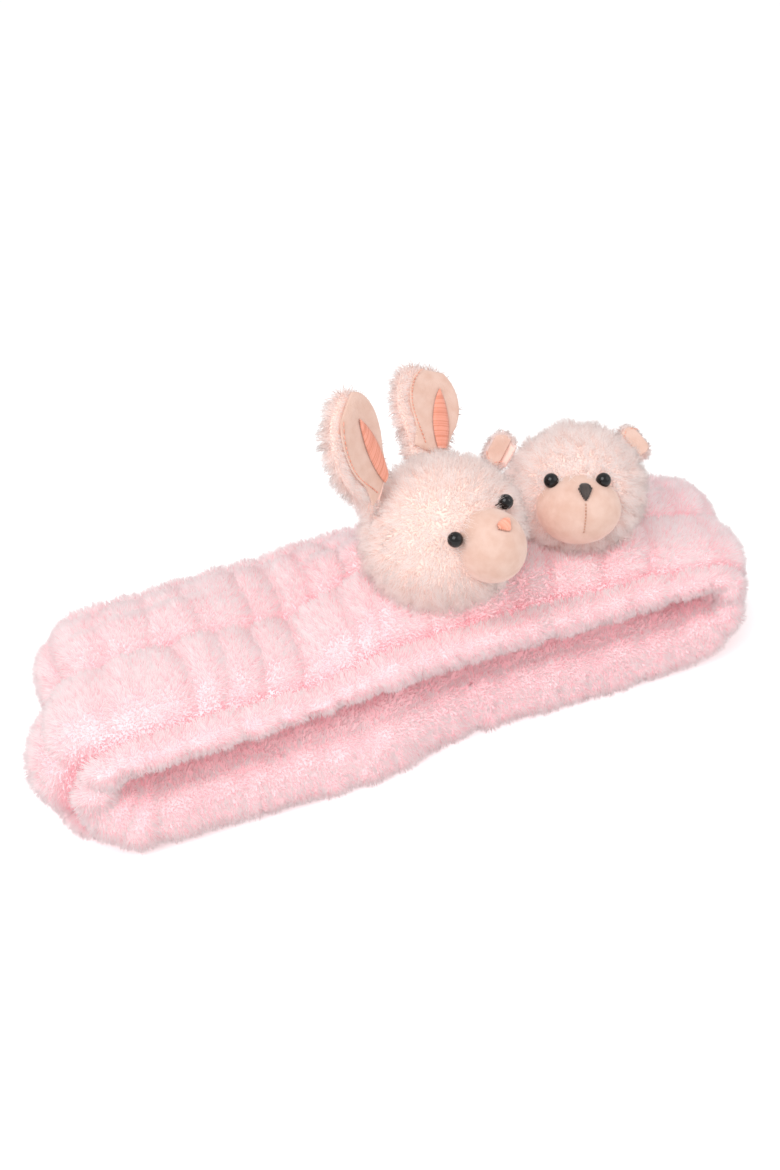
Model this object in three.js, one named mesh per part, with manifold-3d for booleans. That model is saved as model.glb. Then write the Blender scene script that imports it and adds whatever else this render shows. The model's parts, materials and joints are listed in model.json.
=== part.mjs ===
// Plush spa headband: a gathered coral-fleece loop lying flat as two layers, with a stuffed
// rabbit head and a stuffed bear head sewn on top.
// Millimetres. +X runs along the flat loop, +Y to the back, +Z up. The origin is on the surface
// that the loop lies on, under the middle of the whole object's box.
import * as THREE from 'three';
import { mergeVertices } from 'three/addons/utils/BufferGeometryUtils.js';
import Module from 'manifold-3d';

// ---- Driving dimensions -------------------------------------------------------------------

const CLEAR = 0.3; // gap between pieces that touch
const FAR = 400; // half size of a box that cuts everything on one side
const RUN_PAST = 1; // a cutter runs this far past the ends of what it cuts

// Band
const BAND_LENGTH = 254; // end to end, lying flat
const BAND_WIDTH = 90;
const BAND_HEIGHT = 56; // two layers and the slot between them
const BAND_SKEW = 0.19; // how far the back lies to the right of the front, against the width between
const LAYER = 21; // thickness of one layer at the middle of a puff row
const RIM_WIDTH = 11; // rolled edge outside the front and back stitch lines
const RIM_THICK = 13;
const GROOVE_WIDTH = 3; // pinched strip along each stitch line
const GROOVE_THICK = 9;
const PUFF_FULLNESS = 2.5; // exponent of a puff row's section: 2 is an ellipse, more is squarer
const PUFF_CROWN = 2; // extra thickness that a row loses by lying pressed flat
const FOLD_RELIEF = 1; // the end folds are this much thinner on every side
const ELASTIC_WIDTH = 20;
const ELASTIC_THICK = 1.6;
const THREAD_RADIUS = 0.35;

// Heads
const HEAD_SINK = 5; // depth that a head presses into the puffs
const BASE_WALL = 3; // sewn-on bottom of a head cover
const PLUSH_WALL = 4; // plush pile with its backing
const VELBOA_WALL = 1.5;
const TURNING_RADIUS = 8; // opening that the cover is turned and stuffed through
const TACK_RADIUS = 6;
const TACK_THREAD = 0.5;

// Safety eye
const EYE_RADIUS = 2.5;
const EYE_PROUD = 0.6; // centre of the bead above the plush
const STEM_RADIUS = 0.9;
const WASHER_RADIUS = 4;
const WASHER_THICK = 1;
const WASHER_DROP = 1.6; // below the plush backing, so that its rim clears the curve
const STEM_END = 0.8; // stem past the washer

// Embroidery
const STITCH_PAD = 1.1;
const MOUTH_THREAD = 0.35;
const PATCH_THICK = 0.7;

// Each head: centre, radii and turns in degrees. Its own frame has -Y out of the face and +Z up.
const RABBIT = {
  name: 'bunny',
  centre: [5, -18, BAND_HEIGHT + 14],
  radii: [28, 26, 26],
  turn: 12,
  nod: -30,
  tilt: -12,
  muzzle: { at: [0.5, -22, -6.5], radii: [12, 11.5, 12.5] },
  nose: { side: 2, up: 30, width: 5, height: 4, colour: '#ee9a80' },
  eyes: { side: 25.8, up: 6 },
  pile: '#f7e6e0',
};
const BEAR = {
  name: 'bear',
  centre: [61, -8, BAND_HEIGHT + 10],
  radii: [24.5, 23, 23],
  turn: -31,
  nod: -35,
  tilt: -3,
  muzzle: { at: [-0.7, -16.8, -9], radii: [13, 11, 10.5] },
  nose: { side: 16, up: 33, width: 5.4, height: 6.6, colour: '#463a36' },
  eyes: { side: 21.5, up: 4 },
  pile: '#f7e6e0',
};

// Ears: where each base sits on the crown (around it and to the back), how far it leans back, and
// how far its leaf cants sideways from straight out of the head, in degrees.
const RABBIT_EAR = {
  width: 20,
  height: 33,
  base: 12,
  widest: 0.58,
  roll: 3.5,
  front: 1.4,
  inset: 1.6,
  patch: { width: 6, height: 20, side: 2.4 },
};
const BEAR_EAR = {
  width: 13,
  height: 8.5,
  base: 9,
  widest: 0.45,
  roll: 2.4,
  front: 1.1,
  inset: 1.4,
};
const RABBIT_EARS = [
  { side: 'left', around: -35, back: -5, leanBack: -22, cant: 24 },
  { side: 'right', around: 38, back: 25, leanBack: 12, cant: 0 },
];
const BEAR_EARS = [
  { side: 'left', around: -62, back: -2, leanBack: 2, cant: 0 },
  { side: 'right', around: 50, back: 22, leanBack: 24, cant: 0 },
];
const EAR_LIFT = 1; // ear hinge line above the plush

// Facets
const ROUND = 20;
const RINGS = 12;
const FOLD_STEPS = 20;
const LOBE_POINTS = 6;
const SMALL_ROUND = 12;
const THREAD_SIDES = 8;

// ---- Worked-out sizes ---------------------------------------------------------------------

const LOOP_RADIUS = (BAND_HEIGHT - LAYER) / 2; // middle of a layer, round an end fold
const FOLD_X = BAND_LENGTH / 2 - LOOP_RADIUS - LAYER / 2;
const MID_Z = BAND_HEIGHT / 2;
const UPPER_Z = MID_Z + LOOP_RADIUS;
const LOWER_Z = MID_Z - LOOP_RADIUS;
const RIM_Y = BAND_WIDTH / 2 - RIM_WIDTH / 2;
const EDGE_STITCH_Y = BAND_WIDTH / 2 - RIM_WIDTH - GROOVE_WIDTH / 2;
const ROW_WIDTH = EDGE_STITCH_Y - GROOVE_WIDTH;
const ROW_Y = GROOVE_WIDTH / 2 + ROW_WIDTH / 2;
const SEAT_Z = BAND_HEIGHT - HEAD_SINK;
const STRAIGHT = 2 * FOLD_X - CLEAR; // length of the parts between the folds
const degrees = THREE.MathUtils.degToRad;

// ---- Solids -------------------------------------------------------------------------------

const wasm = await Module();
wasm.setup();

function signedVolume(geometry) {
  const at = geometry.attributes.position;
  const index = geometry.index;
  const [a, b, c] = [new THREE.Vector3(), new THREE.Vector3(), new THREE.Vector3()];
  let sum = 0;
  for (let i = 0; i < index.count; i += 3) {
    a.fromBufferAttribute(at, index.getX(i));
    b.fromBufferAttribute(at, index.getX(i + 1));
    c.fromBufferAttribute(at, index.getX(i + 2));
    sum += a.dot(b.cross(c));
  }
  return sum;
}

// Turns a closed geometry into a solid, with its faces pointing out.
function solid(geometry) {
  const bare = geometry.clone();
  bare.deleteAttribute('normal');
  bare.deleteAttribute('uv');
  const merged = mergeVertices(bare, 1e-4);
  const triVerts = new Uint32Array(merged.index.array);
  if (signedVolume(merged) < 0) triVerts.reverse();
  const vertProperties = new Float32Array(merged.attributes.position.array);
  return new wasm.Manifold(new wasm.Mesh({ numProp: 3, vertProperties, triVerts }));
}

function geometryOf(body) {
  const mesh = body.getMesh();
  const geometry = new THREE.BufferGeometry();
  geometry.setAttribute('position', new THREE.BufferAttribute(mesh.vertProperties, 3));
  geometry.setIndex(new THREE.BufferAttribute(mesh.triVerts, 1));
  const flat = geometry.toNonIndexed();
  flat.computeVertexNormals();
  return flat;
}

function cloth(colour) {
  return new THREE.MeshStandardMaterial({ color: colour, roughness: 0.95, metalness: 0 });
}

const FINISH = {
  fleece: () => cloth('#f9cdd3'),
  elastic: () => cloth('#f4efe9'),
  thread: () => cloth('#f2b8bf'),
  velboa: () => cloth('#f4d2bc'),
  patch: () => cloth('#ee8b6c'),
  stuffing: () => cloth('#fbfaf7'),
  plush: (colour) => cloth(colour),
  bead: () => new THREE.MeshStandardMaterial({ color: '#0d0c0d', roughness: 0.08, metalness: 0 }),
  washer: () => new THREE.MeshStandardMaterial({ color: '#e9e8e4', roughness: 0.5, metalness: 0 }),
};

function piece(name, body, material) {
  const mesh = new THREE.Mesh(geometryOf(body), material);
  mesh.name = name;
  return mesh;
}

function ellipsoid(at, radii, grow = 0) {
  const geometry = new THREE.SphereGeometry(1, ROUND, RINGS);
  geometry.rotateX(Math.PI / 2);
  geometry.scale(radii[0] + grow, radii[1] + grow, radii[2] + grow);
  return geometry.translate(at[0], at[1], at[2]);
}

// Everything above a level plane.
function above(z) {
  return new THREE.BoxGeometry(2 * FAR, 2 * FAR, FAR).translate(0, 0, z + FAR / 2);
}

function outlineShape(points) {
  return new THREE.Shape(points.map(([x, y]) => new THREE.Vector2(x, y)));
}

// ---- Band ---------------------------------------------------------------------------------

// Half thickness of a lobe at a place across it, from -1 to 1, with its crown pressed flat.
function lobe(across, thick, fullness, crown) {
  const round = ((thick + crown) / 2) * (1 - Math.abs(across) ** fullness) ** (1 / fullness);
  return Math.min(round, thick / 2);
}

// Points over one face of the band's section, from the front edge to the back: y and half thickness.
function facePoints(inset) {
  const low = GROOVE_THICK / 2;
  const halfRim = RIM_WIDTH / 2;
  const points = [];
  const addLobe = (middle, half, heightAt, floorAt) => {
    for (let i = 0; i <= LOBE_POINTS; i += 1) {
      const across = -Math.cos((Math.PI * i) / LOBE_POINTS);
      points.push([middle + across * half, Math.max(heightAt(across), floorAt(across))]);
    }
  };
  const rim = (across) => lobe(across, RIM_THICK, 2, 0);
  const puff = (across) => lobe(across, LAYER, PUFF_FULLNESS, PUFF_CROWN);
  addLobe(-RIM_Y, halfRim, rim, (across) => (across > 0 ? low : 0));
  addLobe(-ROW_Y, ROW_WIDTH / 2, puff, () => low);
  addLobe(ROW_Y, ROW_WIDTH / 2, puff, () => low);
  addLobe(RIM_Y, halfRim, rim, (across) => (across < 0 ? low : 0));
  const reach = BAND_WIDTH / 2 - inset;
  return points.map(([y, h]) => [
    THREE.MathUtils.clamp(y, -reach, reach),
    Math.abs(y) > reach ? 0 : Math.max(h - inset, 0),
  ]);
}

// Closed section of one layer round its middle line: y across the band, h through its thickness.
function layerOutline(inset = 0) {
  const face = facePoints(inset);
  const under = face.slice(1, -1).reverse();
  const loop = [...face.map(([y, h]) => [y, h]), ...under.map(([y, h]) => [y, -h])];
  return loop.filter(([y, h], i) => {
    const [lastY, lastH] = loop[(i + loop.length - 1) % loop.length];
    return Math.hypot(y - lastY, h - lastH) > 1e-3;
  });
}

function rectangle(middle, width, thick) {
  const [a, b] = [middle - width / 2, middle + width / 2];
  return [[a, -thick / 2], [b, -thick / 2], [b, thick / 2], [a, thick / 2]];
}

const ROWS = [
  { name: 'front', y: -ROW_Y },
  { name: 'back', y: ROW_Y },
];
const channel = (y) => rectangle(y, ELASTIC_WIDTH + 2 * CLEAR, ELASTIC_THICK + 2 * CLEAR);
const elastic = (y) => rectangle(y, ELASTIC_WIDTH, ELASTIC_THICK);

// The loop doesn't lie quite square: its back edge is further along X than its front edge.
function askew(geometry) {
  const shear = new THREE.Matrix4();
  shear.elements[4] = BAND_SKEW;
  return geometry.applyMatrix4(shear);
}

// A section pushed straight along X, with its middle line at a height.
function straightRun(points, z, length) {
  const shape = outlineShape(points);
  const run = new THREE.ExtrudeGeometry(shape, { depth: length, steps: 1, bevelEnabled: false });
  const turned = new THREE.Matrix4().makeBasis(
    new THREE.Vector3(0, 1, 0),
    new THREE.Vector3(0, 0, 1),
    new THREE.Vector3(1, 0, 0),
  );
  run.applyMatrix4(turned.setPosition(-length / 2, 0, z));
  return solid(askew(run));
}

// The same section swept half round an end of the loop; end is -1 at the left and 1 at the right.
// Past is how far it runs on towards the middle of the loop.
function endFold(points, end, past) {
  const ring = points.map(([y, h]) => new THREE.Vector2(LOOP_RADIUS + h, y));
  ring.push(ring[0].clone());
  const turned = new THREE.LatheGeometry(ring, FOLD_STEPS).translate(end * FOLD_X, 0, MID_Z);
  const keep = new THREE.BoxGeometry(FAR, FAR, FAR);
  keep.translate(end * (FOLD_X + CLEAR / 2 - past + FAR / 2), 0, MID_Z);
  return solid(askew(turned)).intersect(solid(askew(keep)));
}

function bandPieces(heads) {
  const pieces = [];
  const hollowed = (body, cutter) => ROWS.reduce((left, row) => left.subtract(cutter(row.y)), body);
  const sleeve = (z) => {
    const full = straightRun(layerOutline(), z, STRAIGHT);
    return hollowed(full, (y) => straightRun(channel(y), z, STRAIGHT + RUN_PAST));
  };
  const lower = sleeve(LOWER_Z);
  const upper = heads.reduce((body, head) => body.subtract(headPocket(head)), sleeve(UPPER_Z));
  pieces.push(piece('band_sleeve_lower', lower, FINISH.fleece()));
  pieces.push(piece('band_sleeve_upper', upper, FINISH.fleece()));
  for (const [side, end] of [['left', -1], ['right', 1]]) {
    const full = endFold(layerOutline(FOLD_RELIEF), end, 0);
    const fold = hollowed(full, (y) => endFold(channel(y), end, RUN_PAST));
    pieces.push(piece(`band_fold_${side}`, fold, FINISH.fleece()));
  }
  for (const row of ROWS) {
    for (const [layer, z] of [['lower', LOWER_Z], ['upper', UPPER_Z]]) {
      const strip = straightRun(elastic(row.y), z, STRAIGHT);
      pieces.push(piece(`elastic_${row.name}_${layer}`, strip, FINISH.elastic()));
    }
    for (const [side, end] of [['left', -1], ['right', 1]]) {
      const bend = endFold(elastic(row.y), end, 0);
      pieces.push(piece(`elastic_${row.name}_${side}_fold`, bend, FINISH.elastic()));
    }
  }
  return pieces;
}

// Sewing thread lying along a stitch groove, on the outer face of a layer.
function stitchThread(y, z) {
  const round = new THREE.CylinderGeometry(THREAD_RADIUS, THREAD_RADIUS, STRAIGHT, THREAD_SIDES);
  return solid(askew(round.rotateZ(Math.PI / 2).translate(0, y, z)));
}

function threadPieces() {
  const lines = [['front', -EDGE_STITCH_Y], ['middle', 0], ['back', EDGE_STITCH_Y]];
  const lift = GROOVE_THICK / 2 + CLEAR + THREAD_RADIUS;
  return lines.flatMap(([line, y]) => [
    piece(`stitch_${line}_upper`, stitchThread(y, UPPER_Z + lift), FINISH.thread()),
    piece(`stitch_${line}_lower`, stitchThread(y, LOWER_Z - lift), FINISH.thread()),
  ]);
}

// ---- Heads --------------------------------------------------------------------------------

function headGroup(spec) {
  const group = new THREE.Group();
  group.position.fromArray(spec.centre);
  group.rotation.set(degrees(spec.nod), degrees(spec.tilt), degrees(spec.turn), 'ZXY');
  group.updateMatrixWorld(true);
  return group;
}

// A level cutter, brought into the head's own turned frame.
function intoHead(geometry, head) {
  return geometry.applyMatrix4(head.group.matrixWorld.clone().invert());
}

// The place that a head presses into the upper layer.
function headPocket(head) {
  const form = ellipsoid([0, 0, 0], head.spec.radii, CLEAR).applyMatrix4(head.group.matrixWorld);
  return solid(form).intersect(solid(above(SEAT_Z)));
}

function direction(side, up) {
  const [a, b] = [degrees(side), degrees(up)];
  return new THREE.Vector3(Math.sin(a) * Math.cos(b), -Math.cos(a) * Math.cos(b), Math.sin(b));
}

// Distance from the middle of an ellipsoid to its surface, along a direction.
function reachAlong(radii, way) {
  return 1 / Math.hypot(way.x / radii[0], way.y / radii[1], way.z / radii[2]);
}

// Carries a shape made along +Z to a place, pointing along a direction.
function pointing(geometry, way, at) {
  const turn = new THREE.Quaternion().setFromUnitVectors(new THREE.Vector3(0, 0, 1), way);
  return geometry.applyQuaternion(turn).translate(at.x, at.y, at.z);
}

function turned(points) {
  const profile = points.map(([r, z]) => new THREE.Vector2(r, z));
  return new THREE.LatheGeometry(profile, SMALL_ROUND).rotateX(Math.PI / 2);
}

// A bead on a stem, in one piece, with its height measured from the plush surface.
function eyeGeometry(grow, stemEnd) {
  const bead = EYE_RADIUS + grow;
  const stem = STEM_RADIUS + grow;
  const start = Math.PI - Math.asin(stem / bead);
  const steps = 7;
  const points = [[0, stemEnd], [stem, stemEnd]];
  for (let i = 0; i < steps; i += 1) {
    const angle = start * (1 - i / steps);
    points.push([bead * Math.sin(angle), EYE_PROUD + bead * Math.cos(angle)]);
  }
  points.push([0, EYE_PROUD + bead]);
  return turned(points);
}

function eyeParts(spec, side) {
  const way = direction(side * spec.eyes.side, spec.eyes.up);
  const at = way.clone().multiplyScalar(reachAlong(spec.radii, way));
  const washerTop = -PLUSH_WALL - WASHER_DROP;
  const stemEnd = washerTop - WASHER_THICK - STEM_END;
  const hole = STEM_RADIUS + CLEAR;
  const ring = [
    [hole, washerTop - WASHER_THICK],
    [WASHER_RADIUS, washerTop - WASHER_THICK],
    [WASHER_RADIUS, washerTop],
    [hole, washerTop],
    [hole, washerTop - WASHER_THICK],
  ];
  const room = WASHER_RADIUS + CLEAR;
  const floor = stemEnd - CLEAR;
  const well = [[0, floor], [room, floor], [room, 0], [0, 0]];
  return {
    bead: solid(pointing(eyeGeometry(0, stemEnd), way, at)),
    cutter: solid(pointing(eyeGeometry(CLEAR, stemEnd - 1), way, at)),
    washer: solid(pointing(turned(ring), way, at)),
    well: solid(pointing(turned(well), way, at)),
  };
}

// An embroidered pad that follows the muzzle: a rounded triangle with its point down.
function nosePad(spec) {
  const { at, radii } = spec.muzzle;
  const { side, up, width, height } = spec.nose;
  const [w, h] = [width / 2, height / 2];
  const shape = new THREE.Shape();
  shape.moveTo(0, -h);
  shape.quadraticCurveTo(w * 0.9, -h * 0.1, w, h * 0.5);
  shape.quadraticCurveTo(w * 0.9, h, 0, h);
  shape.quadraticCurveTo(-w * 0.9, h, -w, h * 0.5);
  shape.quadraticCurveTo(-w * 0.9, -h * 0.1, 0, -h);
  const prism = new THREE.ExtrudeGeometry(shape, {
    depth: FAR / 10,
    steps: 1,
    bevelEnabled: false,
    curveSegments: 5,
  });
  prism.rotateX(Math.PI / 2 - degrees(up)).rotateZ(degrees(side)).translate(...at);
  const skin = solid(ellipsoid(at, radii, CLEAR + STITCH_PAD));
  return skin.subtract(solid(ellipsoid(at, radii, CLEAR))).intersect(solid(prism));
}

// Mouth line running down the muzzle from under the nose.
function mouthLine(spec) {
  const { at, radii } = spec.muzzle;
  const lift = CLEAR + MOUTH_THREAD;
  const from = spec.nose.up - degreesAcross(spec.nose.height / 2 + 1, radii[1]);
  const points = [];
  for (let i = 0; i <= 6; i += 1) {
    const way = direction(spec.nose.side, from - i * 8);
    const reach = reachAlong(radii.map((r) => r + lift), way);
    points.push(new THREE.Vector3(at[0], at[1], at[2]).addScaledVector(way, reach));
  }
  const path = new THREE.CatmullRomCurve3(points);
  const section = new THREE.Shape().absarc(0, 0, MOUTH_THREAD, 0, 2 * Math.PI);
  const tube = { extrudePath: path, steps: 18, bevelEnabled: false, curveSegments: 4 };
  return solid(new THREE.ExtrudeGeometry(section, tube));
}

function degreesAcross(length, radius) {
  return THREE.MathUtils.radToDeg(length / radius);
}

// ---- Ears ---------------------------------------------------------------------------------

// Leaf outline rising from the hinge line, in the ear's own X and Z.
function leaf(width, height, base, widest, from = 0) {
  const shape = new THREE.Shape();
  const wide = from + (height - from) * widest;
  const [w, b] = [width / 2, base / 2];
  shape.moveTo(-b, from);
  shape.lineTo(b, from);
  shape.bezierCurveTo(b * 1.2, from + (wide - from) * 0.5, w, wide - (wide - from) * 0.4, w, wide);
  shape.bezierCurveTo(w, wide + (height - wide) * 0.6, w * 0.55, height, 0, height);
  shape.bezierCurveTo(-w * 0.55, height, -w, wide + (height - wide) * 0.6, -w, wide);
  shape.bezierCurveTo(-w, wide - (wide - from) * 0.4, -b * 1.2, from + (wide - from) * 0.5, -b, from);
  return shape;
}

// A leaf given its thickness, between two depths in front of (-) or behind (+) the hinge line,
// and canted sideways along it.
function plate(shape, front, back, cant) {
  const depth = back - front;
  const flat = new THREE.ExtrudeGeometry(shape, { depth, bevelEnabled: false, curveSegments: 6 });
  flat.rotateX(Math.PI / 2).translate(0, back, 0);
  const shear = new THREE.Matrix4();
  shear.elements[8] = Math.tan(degrees(cant));
  return solid(flat.applyMatrix4(shear));
}

function hingeRoll(size, grow) {
  const radius = size.roll + grow;
  const roll = new THREE.CylinderGeometry(radius, radius, size.base + 2 * grow, ROUND);
  return roll.rotateZ(Math.PI / 2);
}

function earGroup(spec, size, place) {
  const way = direction(0, 90);
  way.applyEuler(new THREE.Euler(degrees(-place.back), degrees(place.around), 0, 'YXZ'));
  const ear = new THREE.Group();
  ear.position.copy(way.multiplyScalar(reachAlong(spec.radii, way) + EAR_LIFT));
  ear.rotation.set(degrees(-place.leanBack), degrees(place.around), 0, 'YXZ');
  ear.updateMatrix();
  const canted = (shape, from, to) => plate(shape, from, to, place.cant);
  const name = `${spec.name}_ear_${place.side}`;
  const face = -size.roll;
  const join = face + size.front;
  const outer = leaf(size.width, size.height, size.base, size.widest);
  const back = canted(outer, join + CLEAR, size.roll);
  const start = size.roll + CLEAR;
  const [frontWidth, frontBase] = [size.width - 2 * size.inset, size.base - size.inset];
  const top = size.height - size.inset;
  const front = canted(leaf(frontWidth, top, frontBase, size.widest, start), face, join);
  ear.add(piece(`${name}_back`, back.add(solid(hingeRoll(size, 0))), FINISH.plush(spec.pile)));
  ear.add(piece(`${name}_front`, front, FINISH.velboa()));
  if (size.patch) {
    const { width, height, side } = size.patch;
    const low = start + CLEAR;
    const spindle = leaf(width, low + height, width * 0.8, 0.25, low);
    const patch = canted(spindle, face - CLEAR - PATCH_THICK, face - CLEAR);
    ear.add(piece(`${name}_embroidery`, patch.translate([side, 0, 0]), FINISH.patch()));
  }
  return ear;
}

// ---- Assembling a head --------------------------------------------------------------------

function fillHead(head, size, ears) {
  const { spec, group } = head;
  const { name, radii, muzzle } = spec;
  const middle = [0, 0, 0];
  const level = (z) => solid(intoHead(above(z), head));
  const eyes = [['left', -1], ['right', 1]].map(([side, way]) => [side, eyeParts(spec, way)]);
  const earGroups = ears.map((place) => earGroup(spec, size, place));

  const opening = new THREE.CylinderGeometry(TURNING_RADIUS, TURNING_RADIUS, 2 * BASE_WALL, ROUND);
  opening.rotateX(Math.PI / 2).translate(spec.centre[0], spec.centre[1], SEAT_Z + BASE_WALL);
  const cavity = solid(ellipsoid(middle, radii, -PLUSH_WALL));
  let cover = solid(ellipsoid(middle, radii)).intersect(level(SEAT_Z + CLEAR));
  cover = cover.subtract(cavity.intersect(level(SEAT_Z + CLEAR + BASE_WALL)));
  cover = cover.subtract(solid(intoHead(opening, head)));
  const inner = solid(ellipsoid(middle, radii, -PLUSH_WALL - CLEAR));
  let stuffing = inner.intersect(level(SEAT_Z + 2 * CLEAR + BASE_WALL));
  for (const [side, eye] of eyes) {
    cover = cover.subtract(eye.cutter);
    stuffing = stuffing.subtract(eye.well);
    group.add(piece(`${name}_eye_${side}`, eye.bead, FINISH.bead()));
    group.add(piece(`${name}_eye_washer_${side}`, eye.washer, FINISH.washer()));
  }
  for (const ear of earGroups) {
    cover = cover.subtract(solid(hingeRoll(size, CLEAR).applyMatrix4(ear.matrix)));
    group.add(ear);
  }
  group.add(piece(`${name}_head_cover`, cover, FINISH.plush(spec.pile)));
  group.add(piece(`${name}_head_stuffing`, stuffing, FINISH.stuffing()));

  const dome = solid(ellipsoid(muzzle.at, muzzle.radii));
  const hollow = solid(ellipsoid(muzzle.at, muzzle.radii, -VELBOA_WALL));
  const fill = solid(ellipsoid(muzzle.at, muzzle.radii, -VELBOA_WALL - CLEAR));
  const face = solid(ellipsoid(middle, radii, CLEAR));
  group.add(piece(`${name}_muzzle_cover`, dome.subtract(hollow).subtract(face), FINISH.velboa()));
  group.add(piece(`${name}_muzzle_stuffing`, fill.subtract(face), FINISH.stuffing()));
  group.add(piece(`${name}_nose`, nosePad(spec), FINISH.plush(spec.nose.colour)));

  const ring = new THREE.TorusGeometry(TACK_RADIUS, TACK_THREAD, THREAD_SIDES, ROUND);
  ring.translate(spec.centre[0], spec.centre[1], SEAT_Z + CLEAR + TACK_THREAD);
  group.add(piece(`${name}_tacking_thread`, solid(intoHead(ring, head)), FINISH.thread()));
}

const rabbit = { spec: RABBIT, group: headGroup(RABBIT) };
const bear = { spec: BEAR, group: headGroup(BEAR) };
fillHead(rabbit, RABBIT_EAR, RABBIT_EARS);
fillHead(bear, BEAR_EAR, BEAR_EARS);
bear.group.add(piece('bear_mouth_stitch', mouthLine(BEAR), FINISH.plush(BEAR.nose.colour)));

const group = new THREE.Group();
group.name = 'spa_headband';
group.add(...bandPieces([rabbit, bear]), ...threadPieces(), rabbit.group, bear.group);

const middle = new THREE.Box3().setFromObject(group, true).getCenter(new THREE.Vector3());
group.position.set(-middle.x, -middle.y, 0);

export default group;
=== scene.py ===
"""Looks of a plush spa headband with a stuffed rabbit head and a stuffed bear head sewn on it."""

import json
import logging
import math
from dataclasses import dataclass, field, fields
from enum import Enum
from typing import Callable, Sequence

import bmesh
import bpy
import numpy as np
from mathutils import Matrix, Vector


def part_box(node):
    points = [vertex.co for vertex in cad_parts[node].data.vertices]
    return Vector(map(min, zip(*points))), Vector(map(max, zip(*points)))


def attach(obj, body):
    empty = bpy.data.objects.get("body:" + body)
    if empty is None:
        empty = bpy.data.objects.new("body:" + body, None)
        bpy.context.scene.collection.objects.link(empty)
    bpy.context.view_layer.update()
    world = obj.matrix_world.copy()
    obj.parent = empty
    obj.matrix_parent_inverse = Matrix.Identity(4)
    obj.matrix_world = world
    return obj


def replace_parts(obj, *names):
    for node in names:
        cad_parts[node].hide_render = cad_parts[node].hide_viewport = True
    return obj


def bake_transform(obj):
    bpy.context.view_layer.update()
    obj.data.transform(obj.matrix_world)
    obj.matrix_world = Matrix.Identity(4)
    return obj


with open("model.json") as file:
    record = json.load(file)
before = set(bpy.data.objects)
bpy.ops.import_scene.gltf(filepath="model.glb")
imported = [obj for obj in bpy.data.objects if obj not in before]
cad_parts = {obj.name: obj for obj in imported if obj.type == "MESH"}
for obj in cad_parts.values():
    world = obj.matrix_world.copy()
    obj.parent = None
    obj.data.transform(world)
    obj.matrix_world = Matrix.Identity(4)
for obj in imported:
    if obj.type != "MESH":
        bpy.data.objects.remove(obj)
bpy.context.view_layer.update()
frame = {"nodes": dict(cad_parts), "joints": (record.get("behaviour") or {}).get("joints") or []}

log = logging.getLogger("headband")
MM = 0.001
BAKE_MAP = "OFBake"
# The shade attribute is painted shade, kept on the backing and on its fibres.
SHADE = "shade"  # 0 in the open, 1 deep in a crease
NAP = "nap"  # how long the pile grows here, against its full length
GROW = "grow"  # share of the roots that grow here
Array = np.ndarray


class Side(Enum):
    """Left or right, as seen from the front."""

    LEFT = -1
    RIGHT = 1

    @property
    def word(self) -> str:
        """The side's name in lower case."""
        return self.name.lower()


# ---- Nodes and colours ----------------------------------------------------------------------


def linear(colour: str) -> tuple[float, float, float, float]:
    """Turns an sRGB hex colour to linear light.

    Args:
        colour: six hex digits after a hash.

    Returns:
        Red, green, blue and an alpha of 1.
    """
    parts = [int(colour[i : i + 2], 16) / 255 for i in (1, 3, 5)]
    light = [c / 12.92 if c <= 0.04045 else ((c + 0.055) / 1.055) ** 2.4 for c in parts]
    return (*light, 1.0)


def add_node(
    tree: bpy.types.NodeTree, kind: str, inputs: dict | None = None, **settings: object
) -> bpy.types.Node:
    """Adds a node with its settings and links.

    Args:
        tree: the material's node tree.
        kind: the node's type name.
        inputs: socket name or index to a value or to another node's output.
        settings: attributes of the node.

    Returns:
        The new node.
    """
    node = tree.nodes.new(kind)
    for key, value in settings.items():
        setattr(node, key, value)
    for key, value in (inputs or {}).items():
        if isinstance(value, bpy.types.NodeSocket):
            tree.links.new(value, node.inputs[key])
        else:
            node.inputs[key].default_value = value
    return node


def set_ramp(ramp: bpy.types.Node, stops: Sequence[tuple[float, str]]) -> None:
    """Gives a colour ramp its stops.

    Args:
        ramp: the ramp's node.
        stops: each a place from 0 to 1 and a hex colour.
    """
    elements = ramp.color_ramp.elements
    while len(elements) < len(stops):
        elements.new(0.5)
    for element, (place, colour) in zip(elements, stops):
        element.position = place
        element.color = linear(colour)


# ---- Finishes -------------------------------------------------------------------------------


@dataclass(frozen=True)
class Finish:
    """What one surface is made of: its record slot and the way it looks."""

    name: str
    slot: str

    def material(self) -> bpy.types.Material:
        """The material, made once and shared."""
        found = bpy.data.materials.get(self.name)
        if found:
            return found
        material = bpy.data.materials.new(self.name)
        material.use_nodes = True
        tree = material.node_tree
        tree.nodes.clear()
        shader = add_node(tree, "ShaderNodeBsdfPrincipled")
        add_node(tree, "ShaderNodeOutputMaterial", {"Surface": shader.outputs[0]})
        self.dress(tree, shader)
        return material

    def dress(self, tree: bpy.types.NodeTree, shader: bpy.types.Node) -> None:
        """Sets the shader's sockets and the nodes before them.

        Args:
            tree: the material's node tree.
            shader: the node that the material's surface comes from.
        """
        raise NotImplementedError

    def put_on(self, piece: bpy.types.Object) -> bpy.types.Object:
        """Gives a piece this finish.

        Args:
            piece: the piece's object.

        Returns:
            The same object.
        """
        slots = piece.data.materials
        slots.clear()
        slots.append(self.material())
        return piece


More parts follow.
